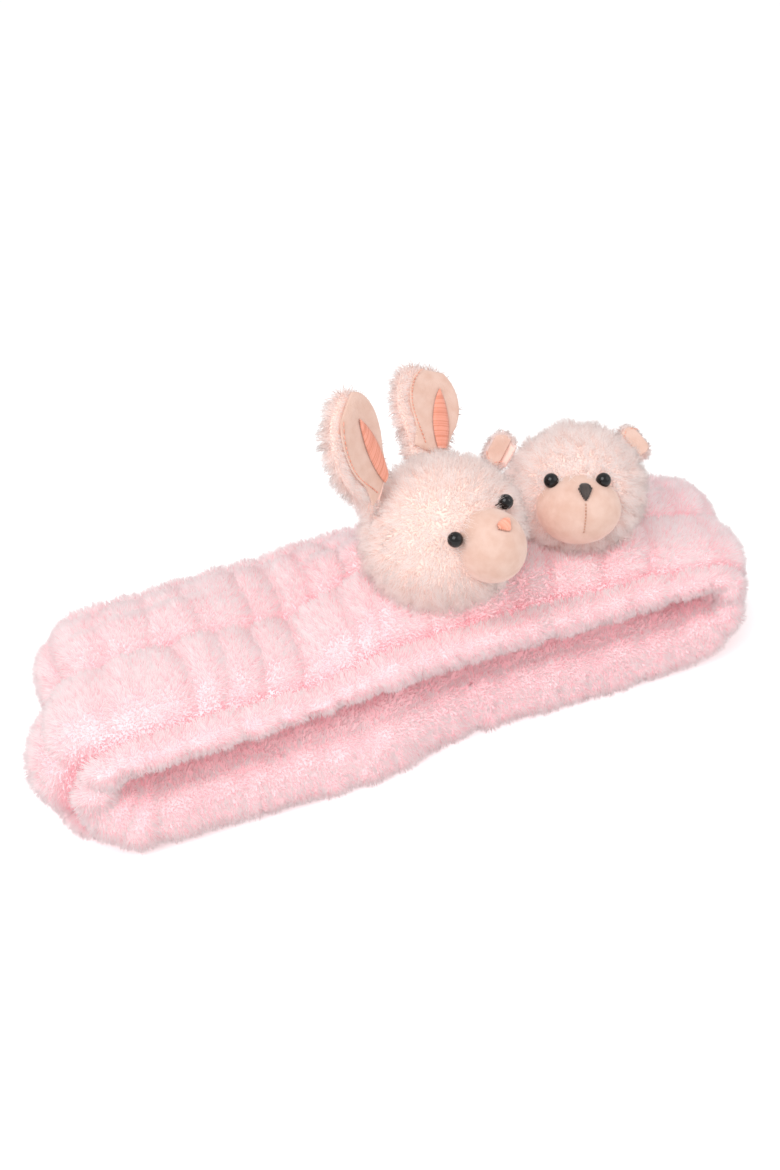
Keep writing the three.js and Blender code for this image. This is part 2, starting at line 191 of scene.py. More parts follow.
@dataclass(frozen=True)
class PileFinish(Finish):
    """Polyester pile with painted shade: its colour darkens from tip to root and deepens further in creases,
    so hollows read richer than crests.
    """

    # Painted shade: the colours darken from tip to root, in place of the pile's own shadow.
    root: str = "#f9bfc6"
    middle: str = "#fbe3e5"
    tip: str = "#fffafa"
    # Painted crease shade, mixed in by each fibre's shade value, whose small random part gives tufts a tone
    # of their own.
    deep: str = "#ec8391"
    glow: float = 0.22  # share of light that passes through a fibre

    def dress(self, tree: bpy.types.NodeTree, shader: bpy.types.Node) -> None:
        """Colour from root to tip, darker towards the root as painted shade, and deepened by painted crease
        shade where the fibre stands in a crease.

        Args:
            tree: the material's node tree.
            shader: its shader.
        """
        uv = add_node(tree, "ShaderNodeUVMap", uv_map=BAKE_MAP)
        along = add_node(tree, "ShaderNodeSeparateXYZ", {0: uv.outputs[0]})
        # Painted shade: the open ramp darkens towards the root, and the deep ramp is mixed in by the painted
        # crease shade in the bake map's first direction.
        open_ramp = add_node(tree, "ShaderNodeValToRGB", {0: along.outputs[1]})
        set_ramp(open_ramp, [(0.0, self.root), (0.45, self.middle), (1.0, self.tip)])
        deep_ramp = add_node(tree, "ShaderNodeValToRGB", {0: along.outputs[1]})
        set_ramp(deep_ramp, [(0.0, self.deep), (1.0, self.root)])
        mix = add_node(
            tree,
            "ShaderNodeMix",
            {0: along.outputs[0], 6: open_ramp.outputs[0], 7: deep_ramp.outputs[0]},
            data_type="RGBA",
        )
        tree.links.new(mix.outputs[2], shader.inputs["Base Color"])
        shader.inputs["Roughness"].default_value = 0.8
        shader.inputs["Specular IOR Level"].default_value = 0.15
        through = add_node(tree, "ShaderNodeBsdfTranslucent", {"Color": mix.outputs[2]})
        both = add_node(
            tree, "ShaderNodeMixShader", {0: self.glow, 1: shader.outputs[0], 2: through.outputs[0]}
        )
        output = next(n for n in tree.nodes if n.type == "OUTPUT_MATERIAL")
        tree.links.new(both.outputs[0], output.inputs["Surface"])


@dataclass(frozen=True)
class ClothFinish(Finish):
    """Short brushed or knitted cloth: an even colour, slightly mottled, with a fine nap."""

    base: str = "#d2b3a6"
    mottle: str = "#cba899"
    grain: float = 0.8  # millimetres between grains, drawn coarser than the real nap so that it shows
    patch: float = 5.0  # grains across a mottled patch
    bump: float = 0.5
    roughness: float = 0.9
    sheen: float = 0.3

    def dress(self, tree: bpy.types.NodeTree, shader: bpy.types.Node) -> None:
        """Mottled colour and a nap bump, both at a size in millimetres.

        Args:
            tree: the material's node tree.
            shader: its shader.
        """
        place = add_node(tree, "ShaderNodeTexCoord").outputs["Object"]
        per_metre = 1 / (self.grain * MM)
        patches = add_node(
            tree, "ShaderNodeTexNoise", {"Vector": place, "Scale": per_metre / self.patch, "Detail": 3.0}
        )
        ramp = add_node(tree, "ShaderNodeValToRGB", {0: patches.outputs[0]})
        set_ramp(ramp, [(0.35, self.mottle), (0.65, self.base)])
        nap = add_node(tree, "ShaderNodeTexNoise", {"Vector": place, "Scale": per_metre, "Detail": 2.0})
        raised = add_node(
            tree,
            "ShaderNodeBump",
            {"Height": nap.outputs[0], "Strength": self.bump, "Distance": 0.3 * MM},
        )
        tree.links.new(ramp.outputs[0], shader.inputs["Base Color"])
        tree.links.new(raised.outputs[0], shader.inputs["Normal"])
        shader.inputs["Roughness"].default_value = self.roughness
        shader.inputs["Specular IOR Level"].default_value = 0.25
        shader.inputs["Sheen Weight"].default_value = self.sheen
        shader.inputs["Sheen Roughness"].default_value = 0.4


@dataclass(frozen=True)
class ThreadFinish(Finish):
    """Twisted rayon or polyester thread: a soft gloss along the strand."""

    base: str = "#ea9a78"
    dark: str = "#cf7450"
    roughness: float = 0.45

    def dress(self, tree: bpy.types.NodeTree, shader: bpy.types.Node) -> None:
        """Gives each stitch its own tone, a little lighter or darker than the next.

        Args:
            tree: the material's node tree.
            shader: its shader.
        """
        uv = add_node(tree, "ShaderNodeUVMap", uv_map=BAKE_MAP)
        split = add_node(tree, "ShaderNodeSeparateXYZ", {0: uv.outputs[0]})
        ramp = add_node(tree, "ShaderNodeValToRGB", {0: split.outputs[0]})
        set_ramp(ramp, [(0.15, self.dark), (0.6, self.base)])
        tree.links.new(ramp.outputs[0], shader.inputs["Base Color"])
        shader.inputs["Roughness"].default_value = self.roughness
        shader.inputs["Sheen Weight"].default_value = 0.2


@dataclass(frozen=True)
class PlasticFinish(Finish):
    """Moulded plastic, polished or plain."""

    base: str = "#0d0c0d"
    roughness: float = 0.05
    coat: float = 0.0

    def dress(self, tree: bpy.types.NodeTree, shader: bpy.types.Node) -> None:
        """A plain colour with faint moulding ripple.

        Args:
            tree: the material's node tree.
            shader: its shader.
        """
        place = add_node(tree, "ShaderNodeTexCoord").outputs["Object"]
        noise = add_node(tree, "ShaderNodeTexNoise", {"Vector": place, "Scale": 900.0})
        ripple = add_node(
            tree,
            "ShaderNodeBump",
            {"Height": noise.outputs[0], "Strength": 0.04, "Distance": 0.1 * MM},
        )
        tree.links.new(ripple.outputs[0], shader.inputs["Normal"])
        shader.inputs["Base Color"].default_value = linear(self.base)
        shader.inputs["Roughness"].default_value = self.roughness
        shader.inputs["Specular IOR Level"].default_value = 0.35
        shader.inputs["Coat Weight"].default_value = self.coat
        shader.inputs["Coat Roughness"].default_value = 0.04


@dataclass(frozen=True)
class ElasticFinish(Finish):
    """Woven elastic tape: ribs run along it, about a millimetre apart."""

    base: str = "#f4efe9"
    # Painted shade in the grooves between the ribs.
    groove: str = "#d8d0c7"
    rib_scale: float = 12.0  # of the wave on the tape's own map, which puts 38 ribs round the tape

    def dress(self, tree: bpy.types.NodeTree, shader: bpy.types.Node) -> None:
        """Ribs across the tape's own map, as colour only, with painted shade in the grooves between them.

        Args:
            tree: the material's node tree.
            shader: its shader.
        """
        uv = add_node(tree, "ShaderNodeUVMap", uv_map=BAKE_MAP)
        sockets = {"Vector": uv.outputs[0], "Scale": self.rib_scale}
        wave = add_node(tree, "ShaderNodeTexWave", sockets, bands_direction="Y")
        ramp = add_node(tree, "ShaderNodeValToRGB", {0: wave.outputs[0]})
        set_ramp(ramp, [(0.1, self.groove), (0.6, self.base)])
        tree.links.new(ramp.outputs[0], shader.inputs["Base Color"])
        shader.inputs["Roughness"].default_value = 0.8


# Coral fleece: dense brushed polyester, so it looks soft. Its pile has painted shade: pale at the tips,
# darker at the roots and rosy in its folds.
FLEECE_PILE = PileFinish("coral_fleece_pile", "pink_coral_fleece")
FLEECE_BACKING = ClothFinish(
    "coral_fleece_backing", "pink_coral_fleece", base="#fbd2d6", mottle="#f8c0c7", grain=1.6, bump=0.8
)
# Crinkled plush: fine warm-white fibres over a peach ground.
# Painted shade: the fibres darken from tip to root.
RABBIT_PILE = PileFinish(
    "rabbit_plush_pile", "rabbit_plush", root="#e8c3b8", middle="#f0dbd5", tip="#f6ebe8", deep="#dfab9c"
)
RABBIT_BACKING = ClothFinish(
    "rabbit_plush_backing", "rabbit_plush", base="#f3d5ca", mottle="#eec7ba", grain=1.5
)
# Sherpa: the same fibre curled into small knots.
# Painted shade: the fibres darken from tip to root.
BEAR_PILE = PileFinish(
    "bear_sherpa_pile", "bear_sherpa", root="#e4c1b7", middle="#edd9d4", tip="#f3e9e6", deep="#daa99c"
)
BEAR_BACKING = ClothFinish("bear_sherpa_backing", "bear_sherpa", base="#f2d4ca", mottle="#edc6ba", grain=1.5)
# Velboa: knitted plush sheared short, so it looks smooth and faintly grainy.
VELBOA = ClothFinish("velboa", "peach_velboa")
# Satin stitch: parallel rayon threads that shine across their run.
CORAL_SATIN = ThreadFinish("coral_satin_thread", "coral_embroidery", base="#e39c86", dark="#d4866d")
BROWN_SATIN = ThreadFinish("brown_satin_thread", "brown_embroidery", base="#41342f", dark="#2c2220")
MOUTH_THREAD = ThreadFinish("brown_seam_thread", "brown_embroidery", base="#c08d74", dark="#a87158")
NOSE_SATIN = ThreadFinish("pale_coral_thread", "coral_embroidery", base="#e8a48c", dark="#dc8f76")
PINK_THREAD = ThreadFinish("pink_sewing_thread", "pink_thread", base="#f0a9b2", dark="#e2919c", roughness=0.6)
# Safety eyes: turned and polished acetal, almost black, with a small hard highlight.
BEAD = PlasticFinish("polished_black_bead", "black_bead_plastic")
WASHER = PlasticFinish("moulded_washer", "eye_washer_plastic", base="#e9e8e4", roughness=0.5)
# Fibre fill: loose white polyester. Woven elastic: white tape with fine ribs.
FIBREFILL = ClothFinish("fibre_fill", "stuffing", base="#fbfaf7", mottle="#efece6", grain=2.5, bump=0.6)
ELASTIC = ElasticFinish("woven_elastic_tape", "woven_elastic")


# ---- Meshes ---------------------------------------------------------------------------------


def finished(name: str, mesh: bmesh.types.BMesh, finish: Finish, smooth: bool = True) -> bpy.types.Object:
    """Turns a bmesh into an object at the origin, with its finish.

    Args:
        name: the piece's name.
        mesh: the shape, which is freed.
        finish: what it is made of.
        smooth: whether its faces are shaded smooth.

    Returns:
        The new object.
    """
    data = bpy.data.meshes.new(name)
    mesh.to_mesh(data)
    mesh.free()
    if smooth:
        data.polygons.foreach_set("use_smooth", [True] * len(data.polygons))
    piece = bpy.data.objects.new(name, data)
    bpy.context.scene.collection.objects.link(piece)
    return finish.put_on(piece)


Place = Callable[[Array, Array], dict[str, Array]]


def wrapped_sheet(name: str, across: int, along: int, place: Place, finish: Finish) -> bpy.types.Object:
    """A sheet wrapped onto a form, with its seams closed.

    Args:
        name: the piece's name.
        across: quads in the first direction.
        along: quads in the second direction.
        place: gives, for places from 0 to 1 in both directions, "at" (points) and any vertex attributes.
        finish: what it is made of.

    Returns:
        The new object, with its own bake map.
    """
    mesh = bmesh.new()
    bmesh.ops.create_grid(mesh, x_segments=across, y_segments=along, size=0.5)
    flat = np.array([v.co[:2] for v in mesh.verts]) + 0.5
    placed = place(flat[:, 0], flat[:, 1])
    layers = {key: mesh.verts.layers.float.new(key) for key in placed if key != "at"}
    uv = mesh.loops.layers.uv.new(BAKE_MAP)
    mesh.verts.index_update()
    for face in mesh.faces:
        for loop in face.loops:
            loop[uv].uv = flat[loop.vert.index]
    for vert in mesh.verts:
        vert.co = placed["at"][vert.index]
        for key, layer in layers.items():
            vert[layer] = placed[key][vert.index]
    bmesh.ops.remove_doubles(mesh, verts=mesh.verts, dist=0.002 * MM)
    bmesh.ops.dissolve_degenerate(mesh, edges=mesh.edges, dist=0.001 * MM)
    bmesh.ops.recalc_face_normals(mesh, faces=mesh.faces)
    if mesh.calc_volume(signed=True) < 0:
        bmesh.ops.reverse_faces(mesh, faces=mesh.faces)
    return finished(name, mesh, finish)


def repeat_shape(
    name: str,
    shape: bmesh.types.BMesh,
    bend: Callable[[Array], Array],
    shades: Array,
    finish: Finish,
    facing: Array | None = None,
) -> bpy.types.Object:
    """shades: each copy's value, kept in the first direction of the bake map: painted shade with random tone
    for pile fibres, a random tone for stitches.
        finish: what it is made of.
        facing: directions that the copies' shading leans to, as thin fibres take the light of their ground.

    Returns:
        The new object. The bake map's second direction is the place along the shape.
    """
    bmesh.ops.triangulate(shape, faces=shape.faces)
    shape.verts.index_update()
    points = np.array([v.co for v in shape.verts])
    faces = np.array([[v.index for v in f.verts] for f in shape.faces])
    shape.free()
    placed = bend(points)
    copies = len(placed)
    steps = np.arange(copies)[:, None, None] * len(points)
    corners = (faces[None] + steps).reshape(-1).astype(np.int32)
    data = bpy.data.meshes.new(name)
    data.vertices.add(copies * len(points))
    data.vertices.foreach_set("co", placed.reshape(-1).astype(np.float32))
    data.loops.add(len(corners))
    data.loops.foreach_set("vertex_index", corners)
    data.polygons.add(copies * len(faces))
    data.polygons.foreach_set("loop_start", np.arange(0, len(corners), 3, dtype=np.int32))
    data.polygons.foreach_set("use_smooth", np.ones(copies * len(faces), bool))
    uv = data.uv_layers.new(name=BAKE_MAP)
    along = np.tile(points[faces.reshape(-1), 2], copies)
    over = np.repeat(shades, faces.size)
    uv.data.foreach_set("uv", np.stack([over, along], 1).reshape(-1).astype(np.float32))
    data.update(calc_edges=True)
    data.validate()
    if facing is not None:
        own = np.zeros(len(data.vertices) * 3)
        data.vertex_normals.foreach_get("vector", own)
        leant = unit(own.reshape(-1, 3) * 0.8 + np.repeat(facing, len(points), 0))
        data.normals_split_custom_set_from_vertices(leant)
    piece = bpy.data.objects.new(name, data)
    bpy.context.scene.collection.objects.link(piece)
    return finish.put_on(piece)


def rod(sides: int, bends: int, tip: float = 1.0) -> bmesh.types.BMesh:
    """A closed round rod from Z 0 to 1, with a unit radius at its root.

    Args:
        sides: faces round it.
        bends: places where it can bend.
        tip: its radius at the top, which is 0 for a fibre that runs out to a point.

    Returns:
        Its bmesh.
    """
    mesh = bmesh.new()
    bmesh.ops.create_cone(mesh, cap_ends=True, segments=sides, radius1=1, radius2=tip, depth=1)
    bmesh.ops.translate(mesh, verts=mesh.verts, vec=(0, 0, 0.5))
    bmesh.ops.remove_doubles(mesh, verts=mesh.verts, dist=1e-5)
    for i in range(bends):
        geometry = [*mesh.verts, *mesh.edges, *mesh.faces]
        height = (i + 1) / (bends + 1)
        bmesh.ops.bisect_plane(mesh, geom=geometry, plane_co=(0, 0, height), plane_no=(0, 0, 1))
    return mesh


def uneven(count: int) -> Array:
    """A number from 0 to 1 for each stitch, the same every time."""
    return hashed(np.arange(count * 3).reshape(-1, 3), 3)[:, 0]


def unit(vectors: Array) -> Array:
    """Vectors scaled to length 1."""
    return vectors / np.maximum(np.linalg.norm(vectors, axis=-1, keepdims=True), 1e-12)


def side_vectors(normals: Array) -> tuple[Array, Array]:
    """Two directions square to each normal.

    Args:
        normals: unit vectors.

    Returns:
        The two directions, which are square to each other too.
    """
    helper = np.where(np.abs(normals[..., 2:3]) < 0.9, [0.0, 0.0, 1.0], [1.0, 0.0, 0.0])
    first = unit(np.cross(helper, normals))
    return first, np.cross(normals, first)


def hashed(cells: Array, salt: int) -> Array:
    """Evenly spread numbers for cells, the same every time.

    Args:
        cells: rows of three whole numbers.
        salt: tells one use of the same cells from another.

    Returns:
        Three numbers from 0 to 1 for each cell.
    """
    mixed = cells @ np.array([127.1, 311.7, 74.7]) + salt * 17.13
    waves = np.sin(mixed[:, None] * np.array([1.0, 1.37, 1.91])) * 43758.5453
    return waves - np.floor(waves)


# ---- Pile -----------------------------------------------------------------------------------


@dataclass(frozen=True)
class Roots:
    """Where fibres grow on a backing: each array has a row for each fibre."""

    at: Array
    normal: Array
    nap: Array
    # painted shade, from the backing's shade attribute
    shade: Array
    share: Array  # the chance that a fibre grows there

    def only(self, chosen: Array) -> "Roots":
        """The chosen rows."""
        return Roots(*(getattr(self, part.name)[chosen] for part in fields(self)))


def spread_roots(backing: bpy.types.Object, count: int, rng: np.random.Generator) -> Roots:
    """Spreads roots evenly over a backing.

    Args:
        backing: the mesh, with its nap, shade and share as vertex attributes.
        count: how many roots.
        rng: random numbers.

    Returns:
        The roots.
    """
    data = backing.data
    data.calc_loop_triangles()
    corners = np.zeros(len(data.loop_triangles) * 3, np.int32)
    data.loop_triangles.foreach_get("vertices", corners)
    corners = corners.reshape(-1, 3)
    at, normals = np.zeros((2, len(data.vertices) * 3))
    data.vertices.foreach_get("co", at)
    data.vertex_normals.foreach_get("vector", normals)
    at, normals = at.reshape(-1, 3), normals.reshape(-1, 3)
    extra = []
    for key, default in ((NAP, 1.0), (SHADE, 0.0), (GROW, 1.0)):
        values = np.full(len(data.vertices), default)
        if key in data.attributes:
            data.attributes[key].data.foreach_get("value", values)
        extra.append(values)
    a, b, c = (at[corners[:, i]] for i in range(3))
    total = np.cumsum(np.linalg.norm(np.cross(b - a, c - a), axis=1))
    picks = (np.arange(count) + rng.random(count)) / count * total[-1]
    chosen = corners[np.searchsorted(total, picks).clip(0, len(corners) - 1)]
    u, v = rng.random(count), rng.random(count)
    fold = u + v > 1
    u[fold], v[fold] = 1 - u[fold], 1 - v[fold]
    weights = np.stack([1 - u - v, u, v], 1)
    place, normal, *rest = (
        np.einsum("ij,ij...->i...", weights, values[chosen]) for values in (at, normals, *extra)
    )
    return Roots(place, unit(normal), *rest)


@dataclass(frozen=True)
class Pile:
    """How a pile grows on its backing. Lengths are in millimetres."""

    length: float
    width: float
    fibres: int
    uneven: float = 0.25  # how much shorter than the length a fibre can be, as a share
    lean: float = 0.25
    tuft: float = 2.6  # distance between tufts
    gather: float = 0.6  # how far tips draw to the middle of their tuft
    clumps: float = 0.3  # how much the tufts' lengths differ
    curl: float = 0.0  # radius of a fibre's curl
    turns: float = 1.0
    bends: int = 0
    fall: tuple[float, float, float] = (0.0, 0.0, -0.2)  # the way that the pile is brushed
    floor: float = 0.0  # height that no fibre reaches below, in metres
    blur: float = 0.35  # how far tufts run into each other, as a share of their distance
    tuft_tilt: float = 1.4  # how far a tuft tilts, against the lean
    own_tilt: float = 0.9  # how far each of its fibres does
    droop: float = 1.4  # power with which a fibre bends over towards its tip
    taper: float = 0.35  # how much thinner the upper end is
    # Painted shade: how strongly the shade attribute darkens a fibre's colour.
    depth_tone: float = 0.9  # how strongly a crease deepens the colour
    tuft_tone: float = 0.12  # how much the tufts' colours differ

    def grow(
        self,
        name: str,
        backing: bpy.types.Object,
        finish: PileFinish,
        seed: int,
        keep: Callable[[Array, Array], Array],
        parts: int = 1,
    ) -> list[bpy.types.Object]:
        """Grows the pile over a backing.

        Args:
            name: the new pieces' name.
            backing: the mesh that it grows from.
            finish: the pile's finish.
            seed: starts its random numbers.
            keep: says which roots grow, from their places and normals.
            parts: how many strips to make it in, from front to back.

        Returns:
            The new pieces.
        """
        rng = np.random.default_rng(seed)
        roots = spread_roots(backing, self.fibres, rng)
        kept = (rng.random(self.fibres) < roots.share) & keep(roots.at, roots.normal)
        order = np.flatnonzero(kept)
        order = order[np.argsort(roots.at[order, 1], kind="stable")]
        pieces = []
        for i, chosen in enumerate(np.array_split(order, parts)):
            label = name if parts == 1 else f"{name}_{i + 1}"
            pieces.append(self.strip(label, roots.only(chosen), finish, seed + i, rng))
        return pieces

    def strip(
        self, name: str, roots: Roots, finish: PileFinish, seed: int, rng: np.random.Generator
    ) -> bpy.types.Object:
        """Grows one piece of pile.

        Args:
            name: the piece's name.
            roots: where its fibres grow.
            finish: the pile's finish.
            seed: tells its tufts from another strip's.
            rng: random numbers.

        Returns:
            The new piece.
        """
        normal = roots.normal
        count = len(normal)
        # Tips draw to one spot in each tuft's cell, which is never near the cell's edge.
        cells = np.floor(roots.at / (self.tuft * MM) + rng.uniform(-self.blur, self.blur, (count, 3)))
        spot = (cells + 0.2 + 0.6 * hashed(cells, seed)) * self.tuft * MM
        draw = spot - roots.at
        draw -= normal * np.sum(draw * normal, 1, keepdims=True)
        tuft = hashed(cells, seed + 1)
        apart = tuft - 0.5
        length = self.length * MM * roots.nap
        length = length * (1 - self.uneven * rng.random(count)) * (1 + self.clumps * apart[:, 0])
        first, second = side_vectors(normal)
        tilt = apart[:, 1:2] * first + apart[:, 2:3] * second
        loose = (rng.random((count, 1)) - 0.5) * first + (rng.random((count, 1)) - 0.5) * second
        fall = np.array(self.fall)
        brushed = fall - normal * (normal @ fall)[:, None]
        drift = (tilt * self.tuft_tilt + loose * self.own_tilt) * self.lean + brushed
        phase = rng.uniform(0, 2 * math.pi, count) + tuft[:, 0] * 5
        width = self.width * MM * rng.uniform(0.75, 1.15, count)
        # Painted crease shade, with tone that differs at random from fibre to fibre and from tuft to tuft.
        tone = roots.shade * self.depth_tone + rng.uniform(-0.05, 0.1, count)
        tone = np.clip(tone + self.tuft_tone * (tuft[:, 1] - 0.4), 0.01, 0.99)

        def bend(points: Array) -> Array:
            """Each fibre's points, from those of one straight fibre."""
            up = points[None, :, 2]
            rise = normal[:, None] * (length[:, None] * up)[..., None]
            sway = (drift * length[:, None] + draw * self.gather)[:, None] * (up**self.droop)[..., None]
            at = roots.at[:, None] + rise + sway
            thin = width[:, None] * (1 - self.taper * up)
            along_first, along_second = points[None, :, 0] * thin, points[None, :, 1] * thin
            if self.curl:
                angle = phase[:, None] + 2 * math.pi * self.turns * up
                reach = self.curl * MM * np.minimum(up * 2, 1) * roots.nap[:, None]
                along_first = along_first + np.cos(angle) * reach
                along_second = along_second + np.sin(angle) * reach
            at = at + first[:, None] * along_first[..., None] + second[:, None] * along_second[..., None]
            at[..., 2] = np.maximum(at[..., 2], self.floor)
            return at

        piece = repeat_shape(name, rod(3, self.bends, tip=0), bend, tone, finish, normal)
        # Real fibres are so thin that light passes through and round them.
        piece.visible_shadow = False
        piece.visible_diffuse = False
        return piece


# ---- Band -----------------------------------------------------------------------------------


def ripple(at: Array, span: float, waves: Sequence[int], rng: np.random.Generator) -> Array:
    """A smooth uneven wave that closes on itself.

    Args:
        at: places along it, from 0 to span.
        span: the length after which it repeats.
        waves: how many whole waves each part has.
        rng: random numbers.

    Returns:
        Heights of about 1.
    """
    total = np.zeros_like(at)
    for count in waves:
        total += np.sin(2 * math.pi * count * at / span + rng.uniform(0, 2 * math.pi)) * rng.uniform(0.5, 1)
    return total / math.sqrt(len(waves))


def ease(value: Array) -> Array:
    """A smooth step from 0 to 1."""
    value = np.clip(value, 0, 1)
    return value * value * (3 - 2 * value)


@dataclass(frozen=True)
class Profile:
    """A value that changes along the band, straight between its points."""

    at: tuple[float, ...]
    value: tuple[float, ...]

    def __call__(self, place: Array) -> Array:
        """The value at each place."""
        return np.interp(place, self.at, self.value)


@dataclass(frozen=True)
class Lobe:
    """One lobe of the band's section, up to where the next one begins, with its own gathers.

    Attributes:
        low: where it begins, as a share of the outer face.
        placed: gathers on the upper layer, as x before the skew, in millimetres.
        step: shortest and longest step between the gathers elsewhere.
        depth: how deep a gather pulls it in.
        rim: whether it is a rolled edge.
    """

    low: float
    placed: tuple[float, ...]
    step: tuple[float, float]
    depth: float
    rim: bool = False


LOBES = (
    Lobe(0.0, (), (8, 15), 0.3, rim=True),
    Lobe(0.18, (-84, -71, -59, -45.5, -26, -16.5, 1, 15, 34, 47, 66, 84), (12, 18), 0.62),
    Lobe(0.5, (-91, -76, -57, -46.5, -34, -21.5, -8, 5, 19, 30, 45, 57, 72, 88), (11, 17), 0.66),
    Lobe(0.82, (), (6, 12), 0.4, rim=True),
)


@dataclass(frozen=True)
class Drape:
    """How the soft loop lies. Millimetres; x is before the skew, and y from the band's middle."""

    hang_from: float = 24
    hang_over: float = 14
    front_hang: Profile = Profile((-100, -20, 70, 110), (3.4, 5.5, 5.5, 3.5))
    back_hang: float = 4.4
    upper_hang: float = 1.2  # more on the upper layer, and less on the lower
    left_outside: float = 0.5  # how much fuller the left end is, as a share
    left_inside: float = 0.3
    lip: float = 2.5  # height of the lower layer's inner face at its edge
    plump: Profile = Profile((-90, -40, 70, 100), (8.5, 10, 10, 8.5))  # its height above that further in
    plump_from: float = 2.5
    plump_over: float = 7
    upper_forward: Profile = Profile((-130, -105, 10, 100, 125), (-1, 7, 0, 0, -1))
    lower_forward: Profile = Profile((-130, -105, -20, 12, 90, 125), (-2, 5, 5, -3, -3, -2))
    narrow: float = 16  # how much narrower the right end is
    narrow_from: float = 35
    narrow_over: float = 45
    sag_above: float = 34
    side_sag: Profile = Profile((-75, -42, -17, 76, 100), (0.28, 0.55, 0, 0, 0.45))
    back_sag: Profile = Profile((-10, 50, 75, 110), (0.4, 0.45, 0.68, 0.5))
    back_sag_from: float = 10
    back_sag_over: float = 10

    def hang(self, x: Array, y: Array, out_z: Array) -> Array:
        """How far the slack rims hang."""
        slack = ease((np.abs(y) - self.hang_from) / self.hang_over)
        return slack * (np.where(y < 0, self.front_hang(x), self.back_hang) + self.upper_hang * out_z)

    def fill_left(self, height: Array, y: Array, out_x: Array) -> Array:
        """Fills out the front half of the left end."""
        left = ease(-out_x) * ease((10 - y) / 40) * ease((40 - np.abs(y)) / 8)
        return height * (1 + left * np.where(height > 0, self.left_outside, self.left_inside))

    def plump_inside(self, height: Array, x: Array, inward: Array, out_z: Array, lumps: Array) -> Array:
        """Plumps the lower layer's inner face from its edges inwards, so that the slot stays thin.

        Args:
            height: outwards from the middle of the layer.
            x: place along the layer.
            inward: distance from the nearer edge of the band.
            out_z: the outward direction's z, which is negative on the lower layer.
            lumps: unevenness of about 1.

        Returns:
            The new height.
        """
        short = 1 - np.clip((inward - self.plump_from) / self.plump_over, 0, 1)
        rounded = np.sqrt(1 - short**2)
        inner = (self.lip + self.plump(x) * rounded + 0.7 * lumps) * ease(-1.6 * out_z)
        return np.where(height < -2, np.minimum(height, -inner), height)

    def forward(self, x: Array, out_z: Array) -> Array:
        """How far the layers lie towards the front."""
        upper = (1 + out_z) / 2
        return upper * self.upper_forward(x) + (1 - upper) * self.lower_forward(x)

    def narrowing(self, x: Array, across: Array) -> Array:
        """How far the right end's back edge is drawn forwards, from a place across it of 0 to 1."""
        return self.narrow * ease((x - self.narrow_from) / self.narrow_over) * across

    def sagged(self, high: Array, x: Array, y: Array) -> Array:
        """Lets the top of the loop sag beside the heads and behind them."""
        behind = self.back_sag(x) * ease((y - self.back_sag_from) / self.back_sag_over)
        return high - np.maximum(high - self.sag_above, 0) * np.maximum(self.side_sag(x), behind)


